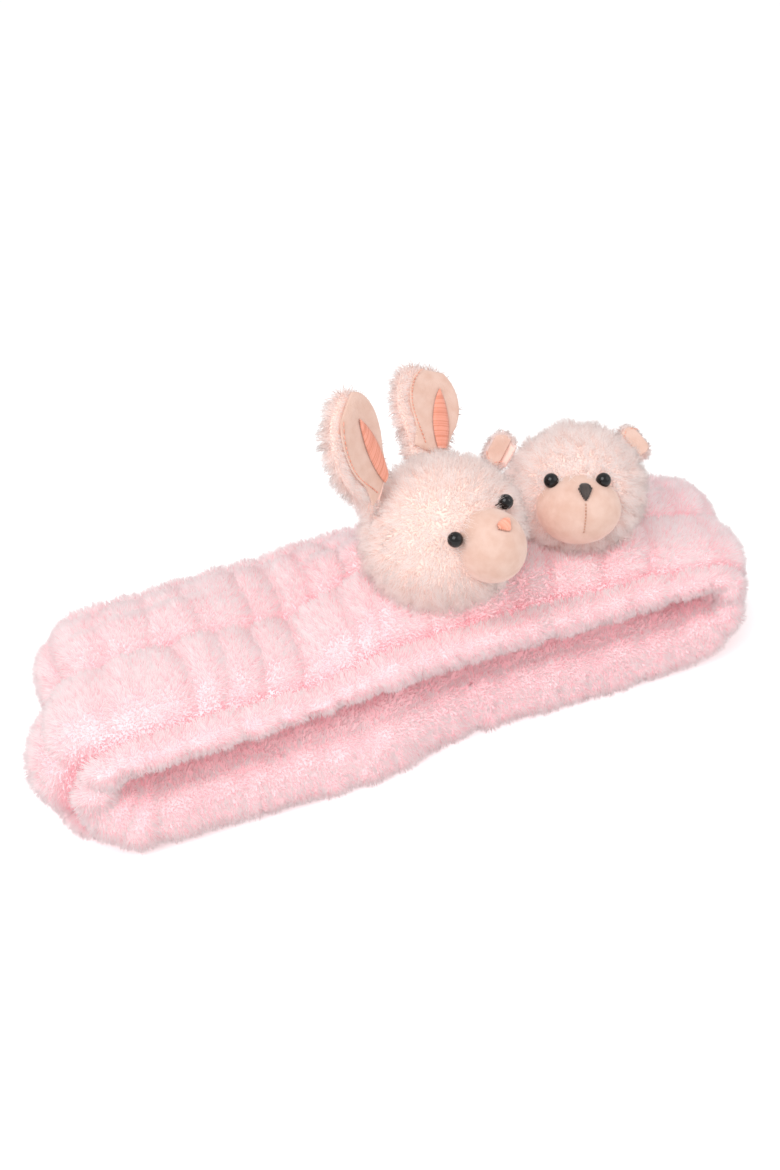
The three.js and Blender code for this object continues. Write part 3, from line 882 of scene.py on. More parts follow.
@dataclass
class Band:
    """The gathered fleece loop: its backing, its pile, its elastics and its rows of stitching.

    Lengths are in millimetres. The loop's size and place come from the frame.
    """

    rim: float = 9.0
    groove: float = 3.0
    skew: float = 0.19
    pile_depth: float = 2.4  # how far the pile stands above its backing once it is pressed
    outer: float = 0.58  # share of the section's sheet that is its outer face
    # The backing's height from the middle of the layer, on its outer face and its inner one.
    groove_height: tuple[float, float] = (1.8, 3.0)
    rim_height: tuple[float, float] = (3.9, 4.6)
    row_inside: float = 8.6
    row_over: float = 1.0  # how far a row stands over the layer's own half thickness
    rim_pull: float = 5.0  # how far a gather pulls the rolled edge in
    rim_lumps: float = 0.6
    lumps: tuple[float, float] = (0.35, 0.15)  # unevenness of the outer face and of the inner one
    gather_wave: float = 0.7  # how far a gather wanders off its line
    gather_middle: float = 0.6  # its depth at the middle of a lobe, against its depth at the seams
    gather_crease: float = 1.15  # how sharp it is: 1 is a crease, 2 a soft hollow
    # How strongly the seams and the gathers deepen the pile's colour, as painted shade.
    seam_shade: float = 0.85
    gather_shade: float = 1.5
    seam_nap: float = 0.5  # how much shorter the pile is at a seam, where the stitches hold it down
    gather_nap: float = 0.6
    inner_nap: float = 0.85
    inner_share: float = 0.4  # share of the pile that grows where only the slot shows it
    floor_share: float = 0.25  # and where it lies on the floor
    wander: float = 0.8  # how far the loop wanders from a straight line
    stitch: float = 2.6
    stitch_gap: float = 0.7
    thread: float = 0.28
    open_gap: float = 2.5  # half the height over which the end folds stretch
    seed: int = 20
    drape: Drape = Drape()
    pile: Pile = Pile(length=3.6, width=0.21, fibres=410000, tuft=2.2, gather=0.55, lean=0.4, floor=0.1 * MM)
    # How full the rows lie round the loop, from the upper left, and the length that these places are for.
    swell_round: float = 506
    front_swell: Profile = Profile(
        (0, 20, 55, 75, 110, 185, 215, 255, 400, 450, 478, 506),
        (2.0, 2.4, 2.0, 0.5, -2.2, -2.0, -1.0, 0, 0, 0.5, 2.5, 2.0),
    )
    back_swell: Profile = Profile(
        (0, 20, 55, 75, 110, 185, 215, 255, 450, 478, 506),
        (0, 0.5, 0.5, 0.3, -1.2, -1.2, -0.5, 0, 0, 0.5, 0),
    )
    heads: list["Head"] = field(default_factory=list)

    def __post_init__(self) -> None:
        """Reads the loop's size from the frame and chooses its gathers."""
        lower_low, lower_high = (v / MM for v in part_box("band_sleeve_lower"))
        upper_low, upper_high = (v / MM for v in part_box("band_sleeve_upper"))
        self.middle_y = (lower_low.y + lower_high.y) / 2
        self.half_width = (lower_high.y - lower_low.y) / 2
        self.layer = lower_high.z - lower_low.z
        self.fold_x = lower_high.x - self.skew * self.half_width
        self.middle_z = (lower_low.z + upper_high.z) / 2
        self.loop_radius = (upper_low.z + upper_high.z) / 2 - self.middle_z
        self.round = 4 * self.fold_x + 2 * math.pi * self.loop_radius
        rng = np.random.default_rng(self.seed)
        self.gathered = [self.choose_gathers(lobe, rng) for lobe in LOBES]

    def choose_gathers(self, lobe: Lobe, rng: np.random.Generator) -> list[tuple[float, ...]]:
        """Chooses the gathers of one lobe.

        Args:
            lobe: the lobe, with the gathers that are listed for it.
            rng: random numbers.

        Returns:
            Each gather's place round the loop, its strength, width and slant.
        """
        places = [x + self.fold_x for x in lobe.placed]
        at = 2 * self.fold_x + rng.uniform(4, 10) if places else 0.0
        while at < self.round - lobe.step[0] / 2:
            places.append(at)
            at += rng.uniform(*lobe.step)
        draws = [(rng.uniform(0.5, 1.0), rng.uniform(1.7, 2.9), rng.uniform(-2, 2)) for _ in places]
        return [(place, *draw) for place, draw in zip(places, draws)]

    def path(self, s: Array) -> tuple[Array, Array, Array, Array]:
        """The middle line of the layer, clockwise from the upper left as seen from the front.

        Args:
            s: distance along it.

        Returns:
            x, z, and the outward direction's x and z.
        """
        run, bend, radius = 2 * self.fold_x, math.pi * self.loop_radius, self.loop_radius
        s = np.mod(s, self.round)
        on_right = (s >= run) & (s < run + bend)
        on_lower = (s >= run + bend) & (s < 2 * run + bend)
        on_left = s >= 2 * run + bend
        turn = np.select(
            [on_right, on_lower, on_left],
            [(s - run) / radius, math.pi, math.pi + (s - 2 * run - bend) / radius],
            0.0,
        )
        x = np.select(
            [on_right, on_lower, on_left],
            [self.fold_x, self.fold_x - (s - run - bend), -self.fold_x],
            s - self.fold_x,
        )
        out_x, out_z = np.sin(turn), np.cos(turn)
        return x + radius * out_x, self.middle_z + radius * out_z, out_x, out_z

    def gather_depth(self, which: int, s: Array, a: Array) -> Array:
        """How far the gathers pull a lobe in.

        Args:
            which: the lobe's number.
            s: distance round the loop.
            a: place across the lobe, from -1 to 1.

        Returns:
            Depths from 0 to 1.
        """
        depth = np.zeros_like(s)
        for place, strength, wide, slant in self.gathered[which]:
            away = s - place - slant * a - self.gather_wave * np.sin(a * 3 + place)
            away = np.abs((away + self.round / 2) % self.round - self.round / 2)
            fade = self.gather_middle + (1 - self.gather_middle) * np.abs(a)
            depth = np.maximum(depth, strength * fade * np.exp(-((away / wide) ** self.gather_crease)))
        return depth

    def section(self, t: Array, s: Array) -> dict[str, Array]:
        """Works out the backing's section, with its gathers.

        Args:
            t: place round the section, from 0 to 1: over the outer face and back along the inner one.
            s: distance round the loop.

        Returns:
            "y" from the middle of the band, "height" outwards, and the backing's attributes.
        """
        outer = t < self.outer
        share = np.where(outer, t / self.outer, 1 - (t - self.outer) / (1 - self.outer))
        edge = self.half_width - self.pile_depth
        seam = self.half_width - self.rim - self.groove / 2
        starts = np.array([lobe.low for lobe in LOBES] + [1.0])
        ends = np.array([-edge, -seam, 0.0, seam, edge])
        which = np.clip(np.searchsorted(starts, share, side="right") - 1, 0, len(LOBES) - 1)
        a = -np.cos(math.pi * (share - starts[which]) / (starts[which + 1] - starts[which]))
        middle, half = (ends[which] + ends[which + 1]) / 2, (ends[which + 1] - ends[which]) / 2
        is_rim = np.array([lobe.rim for lobe in LOBES])[which]
        in_front = which < len(LOBES) / 2
        outward = a * np.where(in_front, -1, 1)
        at_edge = is_rim & (outward > 0)
        deep = np.zeros_like(s)
        for i, lobe in enumerate(LOBES):
            here = which == i
            deep[here] = lobe.depth * self.gather_depth(i, s[here], a[here])
        lumps = ripple(s, self.round, (23, 31, 41), np.random.default_rng(self.seed + 2))
        round_off = np.where(is_rim, np.sqrt(1 - a**2), (1 - np.abs(a) ** 2.6) ** (1 / 2.2))

        at = np.mod(s, self.round) * self.swell_round / self.round
        swell = np.where(in_front, self.front_swell(at), self.back_swell(at))
        row = self.layer / 2 + self.row_over - self.pile_depth
        outside = np.where(is_rim, self.rim_height[0] + 0.2 * swell, row + swell)
        full = np.where(outer, outside, np.where(is_rim, self.rim_height[1], self.row_inside))
        floor = np.where(at_edge, 0.0, np.where(outer, *self.groove_height))
        height = floor + (full - floor) * round_off * (1 - np.where(outer, 1, 0.25) * deep)
        height = height + np.where(outer, *self.lumps) * lumps * round_off
        y = middle + a * half
        pulled = deep * self.rim_pull - self.rim_lumps * lumps
        y = y - np.sign(y) * np.where(is_rim & (outward > -0.2), pulled, 0)

        # Painted shade: deeper near the seams and in the gathers of the outer face, and deeper further into
        # the slot on the inner face.
        near_seam = ease((np.abs(a) - 0.8) / 0.2) * ~at_edge
        crease = np.clip(self.seam_shade * near_seam + self.gather_shade * deep**1.2, 0, 1)
        slot_shade = 0.1 + 0.6 * ease((edge - 9 - np.abs(y)) / 12)
        return {
            "y": y,
            "height": np.where(outer, height, -height),
            SHADE: np.where(outer, crease, slot_shade),
            NAP: np.where(outer, 1 - self.seam_nap * near_seam - self.gather_nap * deep, self.inner_nap),
            GROW: np.where(outer | is_rim, 1.0, self.inner_share),
        }

    def lay(self, s: Array, y: Array, height: Array) -> Array:
        """Puts the section round the loop, with the way that the loop drapes and its skew.

        Args:
            s: distance round the loop.
            y: place across the band, from its middle.
            height: outwards from the middle of the layer.

        Returns:
            Points in the row frame, in metres.
        """
        x, z, out_x, out_z = self.path(s)
        drape = self.drape
        rng = np.random.default_rng(self.seed + 1)
        sway = ripple(s, self.round, (1, 2, 4, 7), rng)
        lumps = ripple(s, self.round, (17, 29, 37), rng)
        height = drape.fill_left(height, y, out_x)
        height = drape.plump_inside(height, x, self.half_width - np.abs(y), out_z, lumps)
        narrowing = drape.narrowing(x, (y + self.half_width) / (2 * self.half_width))
        across = self.middle_y + y + self.wander * sway - drape.forward(x, out_z) - narrowing
        high = drape.sagged(z + out_z * height - drape.hang(x, y, out_z), x, y)
        return np.stack([x + out_x * height + self.skew * y, across, high], -1) * MM

    def press(self, at: Array) -> Array:
        """Pushes the backing down under each head and onto the floor.

        Args:
            at: its points, which are moved.

        Returns:
            The same points.
        """
        at[:, 2] = np.maximum(at[:, 2], self.pile_depth * 0.6 * MM)
        for head in self.heads:
            seat = head.seat - self.pile_depth * MM
            inside = head.inside(at, 1.02) & (at[:, 2] > seat)
            at[inside, 2] = seat
        return at

    def place(self, u: Array, v: Array) -> dict[str, Array]:
        """Places the backing, with little pile where it lies on the floor.

        Args:
            u: share of the way round the loop.
            v: share of the way round the section.

        Returns:
            Its points and their attributes, for a wrapped sheet.
        """
        s = u * self.round
        section = self.section(v, s)
        at = self.press(self.lay(s, section.pop("y"), section.pop("height")))
        under = (at[:, 2] < 5 * MM) & (np.abs(at[:, 1] / MM - self.middle_y) < self.half_width - self.rim)
        section[GROW] = np.where(under, self.floor_share, section[GROW])
        return {"at": at, **section}

    def uncovered(self, root: Array, normal: Array) -> Array:
        """Finds the roots that no head sits on.

        Args:
            root: their places.
            normal: their normals, which make no difference.

        Returns:
            Whether each root grows.
        """
        free = np.ones(len(root), bool)
        for head in self.heads:
            free &= ~head.inside(root, 0.88)
        return free

    def make(self) -> list[bpy.types.Object]:
        """Builds the band's pieces.

        Returns:
            The pieces, with their transforms baked into their meshes.
        """
        backing = wrapped_sheet("band_backing", 700, 140, self.place, FLEECE_BACKING)
        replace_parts(backing, "band_sleeve_lower", "band_sleeve_upper", "band_fold_left", "band_fold_right")
        fleece = self.pile.grow("band_pile", backing, FLEECE_PILE, self.seed + 10, self.uncovered, parts=7)
        elastics = [self.elastic(row) for row in ("front", "back")]
        lines = zip(("front", "middle", "back"), LOBES[1:])
        stitching = [self.stitching(line, lobe.low) for line, lobe in lines]
        pieces = [backing, *fleece, *elastics, *stitching]
        for piece in pieces:
            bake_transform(piece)
        return pieces

    def elastic(self, row: str) -> bpy.types.Object:
        """Makes the elastic ring inside one row.

        Args:
            row: front or back.

        Returns:
            The new piece.
        """
        low, high = (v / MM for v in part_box(f"elastic_{row}_lower"))
        middle, half = (low.y + high.y) / 2 - self.middle_y, (high.y - low.y) / 2
        thick = (high.z - low.z) / 2

        def place(u: Array, v: Array) -> dict[str, Array]:
            """The tape's points, with rounded edges."""
            angle = 2 * math.pi * v
            y = middle + half * np.sign(np.cos(angle)) * np.abs(np.cos(angle)) ** 0.4
            return {"at": self.lay(u * self.round, y, thick * np.sin(angle))}

        ring = wrapped_sheet(f"elastic_ring_{row}", 160, 16, place, ELASTIC)
        nodes = [f"elastic_{row}_{part}" for part in ("lower", "upper", "left_fold", "right_fold")]
        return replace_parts(ring, *nodes)

    def stitching(self, line: str, share: float) -> bpy.types.Object:
        """Makes a ring of lockstitch in a groove.

        Args:
            line: front, middle or back.
            share: the groove's place across the outer face, from 0 to 1.

        Returns:
            The new piece.
        """
        count = int(self.round / (self.stitch + self.stitch_gap))
        start = np.arange(count) * self.round / count

        def bend(points: Array) -> Array:
            """Each stitch's points, arched over the groove."""
            along = start[:, None] + points[None, :, 2] * self.stitch
            seam = self.section(np.full(along.size, share * self.outer), along.reshape(-1))
            lift = seam["height"].reshape(along.shape) + 0.3 + 0.25 * np.sin(math.pi * points[None, :, 2])
            y = seam["y"].reshape(along.shape) + points[None, :, 1] * self.thread
            return self.lay(along, y, lift + points[None, :, 0] * self.thread)

        ring = repeat_shape(f"stitching_{line}", rod(6, 2), bend, uneven(count), PINK_THREAD)
        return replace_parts(ring, f"stitch_{line}_lower", f"stitch_{line}_upper")


# ---- Heads ----------------------------------------------------------------------------------


def on_ellipsoid(side: Array | float, up: Array | float, radii: Array) -> Array:
    """Points on an ellipsoid whose front is at -Y.

    Args:
        side: degrees to the right of the front.
        up: degrees above it.
        radii: the ellipsoid's radii.

    Returns:
        Points with three coordinates each, in the radii's unit.
    """
    a, b = np.radians(side), np.radians(up)
    ways = np.stack([np.sin(a) * np.cos(b), -np.cos(a) * np.cos(b), np.sin(b)], -1)
    return ways / np.linalg.norm(ways / radii, axis=-1, keepdims=True)


@dataclass
class Nose:
    """An embroidered nose: its place on the muzzle in degrees, and its size in millimetres."""

    side: float
    up: float
    width: float
    height: float
    finish: ThreadFinish
    stitch: float = 0.42  # from one satin stitch to the next
    thread: float = 0.3


@dataclass
class Head:
    """A stuffed head: its own frame has -Y out of the face and +Z up. Lengths are in millimetres."""

    name: str
    radii: tuple[float, float, float]
    turn: float
    nod: float
    tilt: float
    muzzle_at: tuple[float, float, float]
    muzzle_radii: tuple[float, float, float]
    nose: Nose
    eye_side: float
    eye_up: float
    pile: Pile
    pile_finish: PileFinish
    backing_finish: ClothFinish
    seed: int
    inset: float = 3.4  # how far the backing lies inside the true outer form
    lumpiness: float = 0.012  # of the stuffing, as a share of the radii
    eye_radius: float = 2.5
    eye_proud: float = 0.1
    stem_radius: float = 0.9
    stem_length: float = 7.0
    stem_back: float = 5.5  # from the bead's middle to the stem's
    seamed: bool = False  # whether stitches run down its muzzle
    seam_pitch: float = 5.2  # degrees from one of these stitches to the next
    seam_stitches: int = 10

    def __post_init__(self) -> None:
        """Finds the head's place in the frame."""
        turns = (("Z", self.turn), ("X", self.nod), ("Y", self.tilt))
        matrix = Matrix.Identity(3)
        for axis, angle in turns:
            matrix = matrix @ Matrix.Rotation(math.radians(angle), 3, axis)
        self.matrix = np.array(matrix)
        low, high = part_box(f"{self.name}_head_cover")
        reach = np.linalg.norm(self.matrix * np.array(self.radii), axis=1) * MM
        self.centre = np.array([(low.x + high.x) / 2, (low.y + high.y) / 2, high.z - reach[2]])
        self.seat = low.z

    def world(self, local: Array) -> Array:
        """Points from the head's own frame, in millimetres, to the row frame."""
        return self.centre + (np.asarray(local) * MM) @ self.matrix.T

    def local(self, at: Array) -> Array:
        """Points from the row frame to the head's own, in millimetres."""
        return ((at - self.centre) @ self.matrix) / MM

    def inside(self, at: Array, share: float) -> Array:
        """Which points lie inside the head's form, grown or shrunk to a share of its size."""
        return np.sum((self.local(at) / np.array(self.radii)) ** 2, 1) < share**2

    def make(self) -> list[bpy.types.Object]:
        """Builds the head's pieces.

        Returns:
            The pieces, riding on the upper layer.
        """
        backing = self.backing()
        hair = self.pile.grow(f"{self.name}_pile", backing, self.pile_finish, self.seed, self.grows)
        pieces = [backing, *hair, self.muzzle(), self.nose_stitches(), *map(self.eye, Side)]
        if self.seamed:
            pieces.append(self.mouth())
        for piece in pieces:
            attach(piece, "upper_half")
        return pieces

    def backing(self) -> bpy.types.Object:
        """Makes the head's cloth ground, sewn flat where it sits.

        Returns:
            The new piece.
        """
        mesh = bmesh.new()
        bmesh.ops.create_icosphere(mesh, subdivisions=6, radius=1)
        points = np.array([v.co for v in mesh.verts])
        rng = np.random.default_rng(self.seed)
        lumps = np.zeros(len(points))
        for _ in range(7):
            lumps += np.sin(points @ rng.normal(0, 3.0, 3) + rng.uniform(0, 6.28)) * rng.uniform(0.2, 0.5)
        form = points * (np.array(self.radii) - self.inset) * (1 + self.lumpiness * lumps[:, None])
        at = self.world(form)
        at[:, 2] = np.maximum(at[:, 2], self.seat + 0.3 * MM)
        for vert, place in zip(mesh.verts, at):
            vert.co = place
        bmesh.ops.recalc_face_normals(mesh, faces=mesh.faces)
        piece = finished(f"{self.name}_backing", mesh, self.backing_finish)
        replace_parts(piece, f"{self.name}_head_cover")
        return piece

    def grows(self, root: Array, normal: Array) -> Array:
        """Keeps the pile from under the muzzle, the eyes and the seat.

        Args:
            root: the roots' places.
            normal: their normals, which make no difference.

        Returns:
            Whether each root grows.
        """
        local = self.local(root)
        muzzle = (local - np.array(self.muzzle_at)) / (np.array(self.muzzle_radii) - 0.6)
        grows = np.sum(muzzle**2, 1) > 1
        for side in Side:
            grows &= np.linalg.norm(local - self.eye_place(side), axis=1) > self.eye_radius * 1.3
        return grows & (root[:, 2] > self.seat + 0.4 * MM)

    def eye_place(self, side: Side) -> Array:
        """The middle of a bead, in the head's own frame."""
        skin = on_ellipsoid(side.value * self.eye_side, self.eye_up, np.array(self.radii))
        return skin + unit(skin) * self.eye_proud

    def eye(self, side: Side) -> bpy.types.Object:
        """Makes a bead, turned in one piece with its stem.

        Args:
            side: which eye it is.

        Returns:
            The new piece.
        """
        mesh = bmesh.new()
        bmesh.ops.create_uvsphere(mesh, u_segments=32, v_segments=20, radius=self.eye_radius * MM)
        radius, length = self.stem_radius * MM, self.stem_length * MM
        stem = bmesh.ops.create_cone(
            mesh, cap_ends=True, segments=20, radius1=radius, radius2=radius, depth=length
        )
        bmesh.ops.translate(mesh, verts=stem["verts"], vec=(0, 0, -self.stem_back * MM))
        place = self.eye_place(side)
        turn = Vector((0, 0, 1)).rotation_difference(Vector(self.matrix @ unit(place))).to_matrix()
        bmesh.ops.rotate(mesh, verts=mesh.verts, cent=(0, 0, 0), matrix=turn)
        bmesh.ops.translate(mesh, verts=mesh.verts, vec=Vector(self.world(place)))
        name = f"{self.name}_eye_{side.word}"
        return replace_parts(finished(f"{name}_bead", mesh, BEAD), name)

    def muzzle(self) -> bpy.types.Object:
        """Makes the velboa muzzle, which goes into the plush where it is sewn on.

        Returns:
            The new piece.
        """
        mesh = bmesh.new()
        bmesh.ops.create_icosphere(mesh, subdivisions=5, radius=1)
        for vert in mesh.verts:
            form = np.array(vert.co) * np.array(self.muzzle_radii)
            vert.co = self.world(np.array(self.muzzle_at) + form)
        bmesh.ops.recalc_face_normals(mesh, faces=mesh.faces)
        piece = finished(f"{self.name}_muzzle", mesh, VELBOA)
        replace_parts(piece, f"{self.name}_muzzle_cover")
        return piece

    def on_muzzle(self, side: Array, up: Array, rise: Array) -> Array:
        """Points on the muzzle or standing off it, in the row frame.

        Args:
            side: degrees to the right of the muzzle's front.
            up: degrees above it.
            rise: how far each point stands off, in millimetres.

        Returns:
            The points.
        """
        radii = np.array(self.muzzle_radii)
        low, high = (on_ellipsoid(side, up, radii + lift) for lift in (0, 1))
        return self.world(np.array(self.muzzle_at) + low + (high - low) * rise[..., None])

    def mouth(self) -> bpy.types.Object:
        """Makes small separate stitches down the middle of the muzzle.

        Returns:
            The new piece.
        """
        start = self.nose.up - math.degrees((self.nose.height / 2 + 0.8) / self.muzzle_radii[2])
        tops = start - self.seam_pitch * np.arange(self.seam_stitches)

        def bend(points: Array) -> Array:
            """Each stitch's points, one below the other."""
            up = tops[:, None] - points[None, :, 2] * self.seam_pitch * 0.6
            side = self.nose.side + points[None, :, 0] + 0 * up
            rise = 0.1 + 0.2 * np.sin(math.pi * points[None, :, 2]) + 0.18 * points[None, :, 1]
            return self.on_muzzle(side, up, rise)

        piece = repeat_shape(f"{self.name}_mouth", rod(5, 2), bend, uneven(len(tops)), MOUTH_THREAD)
        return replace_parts(piece, f"{self.name}_mouth_stitch")

    def nose_stitches(self) -> bpy.types.Object:
        """Makes satin stitches side by side, in a rounded triangle with its point down.

        Returns:
            The new piece.
        """
        nose = self.nose
        across = math.degrees(nose.width / 2 / self.muzzle_radii[0])
        tall = math.degrees(nose.height / 2 / self.muzzle_radii[2])
        thick = math.degrees(nose.thread / self.muzzle_radii[0])
        count = max(int(nose.width / nose.stitch), 6)
        place = np.linspace(-1, 1, count)
        side = nose.side + place * across
        low = nose.up - tall * (1 - np.abs(place) ** 1.3 * 1.15)
        high = nose.up + tall * np.sqrt(np.clip(1 - place**4, 0.1, 1)) * 0.95

        def bend(points: Array) -> Array:
            """Each stitch's points, from the triangle's lower edge to its upper one."""
            along = points[None, :, 2]
            up = low[:, None] + (high - low)[:, None] * along
            rise = 0.35 + 0.7 * np.sin(math.pi * along) ** 0.5 + 0.28 * points[None, :, 0]
            return self.on_muzzle(side[:, None] + points[None, :, 1] * thick, up, rise)

        piece = repeat_shape(f"{self.name}_nose_stitches", rod(6, 5), bend, uneven(count), nose.finish)
        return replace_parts(piece, f"{self.name}_nose")


# ---- Ears -----------------------------------------------------------------------------------


@dataclass(frozen=True)
class Leaf:
    """The shape and pile of one kind of ear. Lengths are in millimetres."""

    height: float
    base: float
    widest: float  # share of the height at which it is widest
    thick: float
    rim: float  # how far the plush shows round the front
    pile: Pile
    aside: float = 0.0  # how far the front sits to the right of the leaf's middle
    satin: tuple[float, float, float] | None = None  # the embroidery's width, height and place to the right


@dataclass
class Ear:
    """A two-sided ear: a plush back that wraps round the edge of a velboa front.

    Lengths are in millimetres and angles in degrees, from the head's own frame.
    """

    head: Head
    leaf: Leaf
    side: Side
    around: float
    lean_back: float
    width: float
    cant: float = 0.0  # how far it leans to the right with its height
    cup: float = 0.9  # how far its edges stand forward of its middle
    stitch: float = 1.5  # from one stitch of the seam to the next
    satin_step: float = 0.42
    satin_thread: float = 0.24

    def __post_init__(self) -> None:
        """Finds the ear's hinge in the frame."""
        self.name = f"{self.head.name}_ear_{self.side.word}"
        joint = next(j for j in frame["joints"] if j["name"] == f"{self.name}_bend")
        self.origin = np.array(joint["pos_m"])
        around = Matrix.Rotation(math.radians(self.around), 3, "Y")
        lean = Matrix.Rotation(math.radians(-self.lean_back), 3, "X")
        self.matrix = self.head.matrix @ np.array(around @ lean)

    def canted(self, z: Array) -> Array:
        """How far the leaf leans to the right at a height."""
        return np.maximum(z, 0) * math.tan(math.radians(self.cant))

    def world(self, x: Array, y: Array, z: Array) -> Array:
        """Points from the ear's own frame to the row frame, with its sideways cant."""
        local = np.stack(np.broadcast_arrays(x + self.canted(z), y, z), -1)
        return self.origin + (local * MM) @ self.matrix.T

    def local(self, at: Array) -> Array:
        """Brings points from the row frame to the ear's own, without the cant.

        Args:
            at: the points, in metres.

        Returns:
            The points, in millimetres.
        """
        local = ((at - self.origin) @ self.matrix) / MM
        local[:, 0] -= self.canted(local[:, 2])
        return local

    def half_width(self, v: Array, inset: Array | float) -> Array:
        """Works out half the leaf's width.

        Args:
            v: places up the leaf, as shares of its height.
            inset: how far inside the leaf's outline.

        Returns:
            Half widths, which are 0 past the tip.
        """
        leaf = self.leaf
        rise = ease(v / leaf.widest)
        wide = leaf.base / 2 + (self.width - leaf.base) / 2 * rise
        drop = np.clip((v - leaf.widest) / (1 - leaf.widest), 0, 1)
        tip = self.width / 2 * np.sqrt(np.clip(1 - drop**2.2, 0, 1))
        return np.maximum(np.where(v < leaf.widest, wide, tip) - inset, 0)

    def shell(
        self, name: str, front: float, back: float, inset: float, start: float, aside: float, finish: Finish
    ) -> bpy.types.Object:
        """Makes a closed flattened leaf between two depths.

        Args:
            name: the piece's name.
            front: how far it stands forward of the hinge line.
            back: how far it stands behind it.
            inset: how far its edge lies inside the ear's outline.
            start: height at which it begins.
            aside: how far it sits to the right.
            finish: what it is made of.

        Returns:
            The new piece.
        """
        height = self.leaf.height
        middle, half = (back - front) / 2, (back + front) / 2

        def place(u: Array, v: Array) -> dict[str, Array]:
            """The leaf's points, cupped forwards, and its nap, which is short in front."""
            angle = 2 * math.pi * u
            end = np.clip(np.minimum(v / 0.06, (1 - v) / 0.1), 0, 1) ** 0.5
            z = start + (height - inset - start) * v
            wide = self.half_width(z / height, inset * np.clip(v * 4, 0, 1)) * np.where(v < 0.05, end, 1)
            shape = np.sign(np.cos(angle)) * np.abs(np.cos(angle)) ** 0.8
            cup = self.cup * np.cos(angle) ** 2 * np.sin(math.pi * v)
            facing = np.clip(-np.sin(angle), 0, 1)
            x = wide * shape + aside * np.clip(v * 3, 0, 1)
            y = middle + half * np.sin(angle) * end - cup
            return {"at": self.world(x, y, z), NAP: 1 - 0.75 * facing}

        return wrapped_sheet(name, 48, 60, place, finish)

    def grows(self, root: Array, normal: Array) -> Array:
        """Keeps the pile from behind the velboa front.

        Args:
            root: the roots' places.
            normal: their normals, which make no difference.

        Returns:
            Whether each root grows.
        """
        leaf = self.leaf
        local = self.local(root)
        within = self.half_width(local[:, 2] / leaf.height, leaf.rim + 0.2)
        covered = (np.abs(local[:, 0] - leaf.aside) < within) & (local[:, 1] < 0)
        covered &= local[:, 2] < leaf.height - leaf.rim - 0.3
        return ~covered & (local[:, 2] > 0)

    def make(self) -> list[bpy.types.Object]:
        """Builds the ear's pieces.

        Returns:
            The pieces, riding on the ear's own body.
        """
        leaf, head = self.leaf, self.head
        half = leaf.thick / 2
        back = self.shell(
            f"{self.name}_backing", half * 0.3, half, 0.9, -half * 0.5, 0.0, head.backing_finish
        )
        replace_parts(back, f"{self.name}_back")
        front = self.shell(
            f"{self.name}_face", half, 0.1 - half * 0.3, leaf.rim, half * 0.8, leaf.aside, VELBOA
        )
        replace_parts(front, f"{self.name}_front")
        seed = head.seed + 5 + self.side.value
        hair = leaf.pile.grow(f"{self.name}_pile", back, head.pile_finish, seed, self.grows)
        pieces = [back, front, *hair, self.seam()]
        if leaf.satin:
            pieces.append(self.embroidery(*leaf.satin))
        for piece in pieces:
            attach(piece, self.name)
        return pieces

    def seam(self) -> bpy.types.Object:
        """Makes small stitches up the left edge of the velboa front, where the plush meets it.

        Returns:
            The new piece.
        """
        leaf = self.leaf
        count = max(int(leaf.height / self.stitch), 5)
        low = 0.14 + 0.8 * np.arange(count) / count

        def bend(points: Array) -> Array:
            """Each stitch's points, one above the other."""
            v = low[:, None] + points[None, :, 2] * 0.5 / count
            x = leaf.aside - self.half_width(v, leaf.rim + 0.7) + points[None, :, 0] * 0.2
            y = -leaf.thick / 2 - 0.1 + points[None, :, 1] * 0.2
            return self.world(x, y, v * leaf.height)

        return repeat_shape(f"{self.name}_seam", rod(5, 0), bend, uneven(count), CORAL_SATIN)

    def embroidery(self, width: float, height: float, aside: float) -> bpy.types.Object:
        """Makes a spindle of satin stitches that rises from the base of the front.

        Args:
            width: its greatest width.
            height: from its base to its point.
            aside: how far it sits to the right of the leaf's middle.

        Returns:
            The new piece.
        """
        face = -self.leaf.thick / 2
        thread = self.satin_thread
        count = int(height / self.satin_step)
        place = (np.arange(count) + 0.5) / count
        base = self.leaf.thick / 2 + 0.6
        half = width / 2 * np.sin(math.pi * np.clip(place * 0.86 + 0.14, 0, 1)) ** 0.75

        def bend(points: Array) -> Array:
            """Each stitch's points, across the spindle and a little upwards."""
            along = points[None, :, 2]
            x = aside + (along - 0.5) * 2 * half[:, None]
            z = base + (place * height)[:, None] + points[None, :, 0] * thread + (along - 0.5) * 0.6
            lift = 0.35 + 0.55 * np.sin(math.pi * along) ** 0.7
            return self.world(x, face - lift + points[None, :, 1] * thread, z)

        piece = repeat_shape(f"{self.name}_satin", rod(6, 4), bend, uneven(count), CORAL_SATIN)
        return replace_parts(piece, f"{self.name}_embroidery")


# ---- Studio ---------------------------------------------------------------------------------


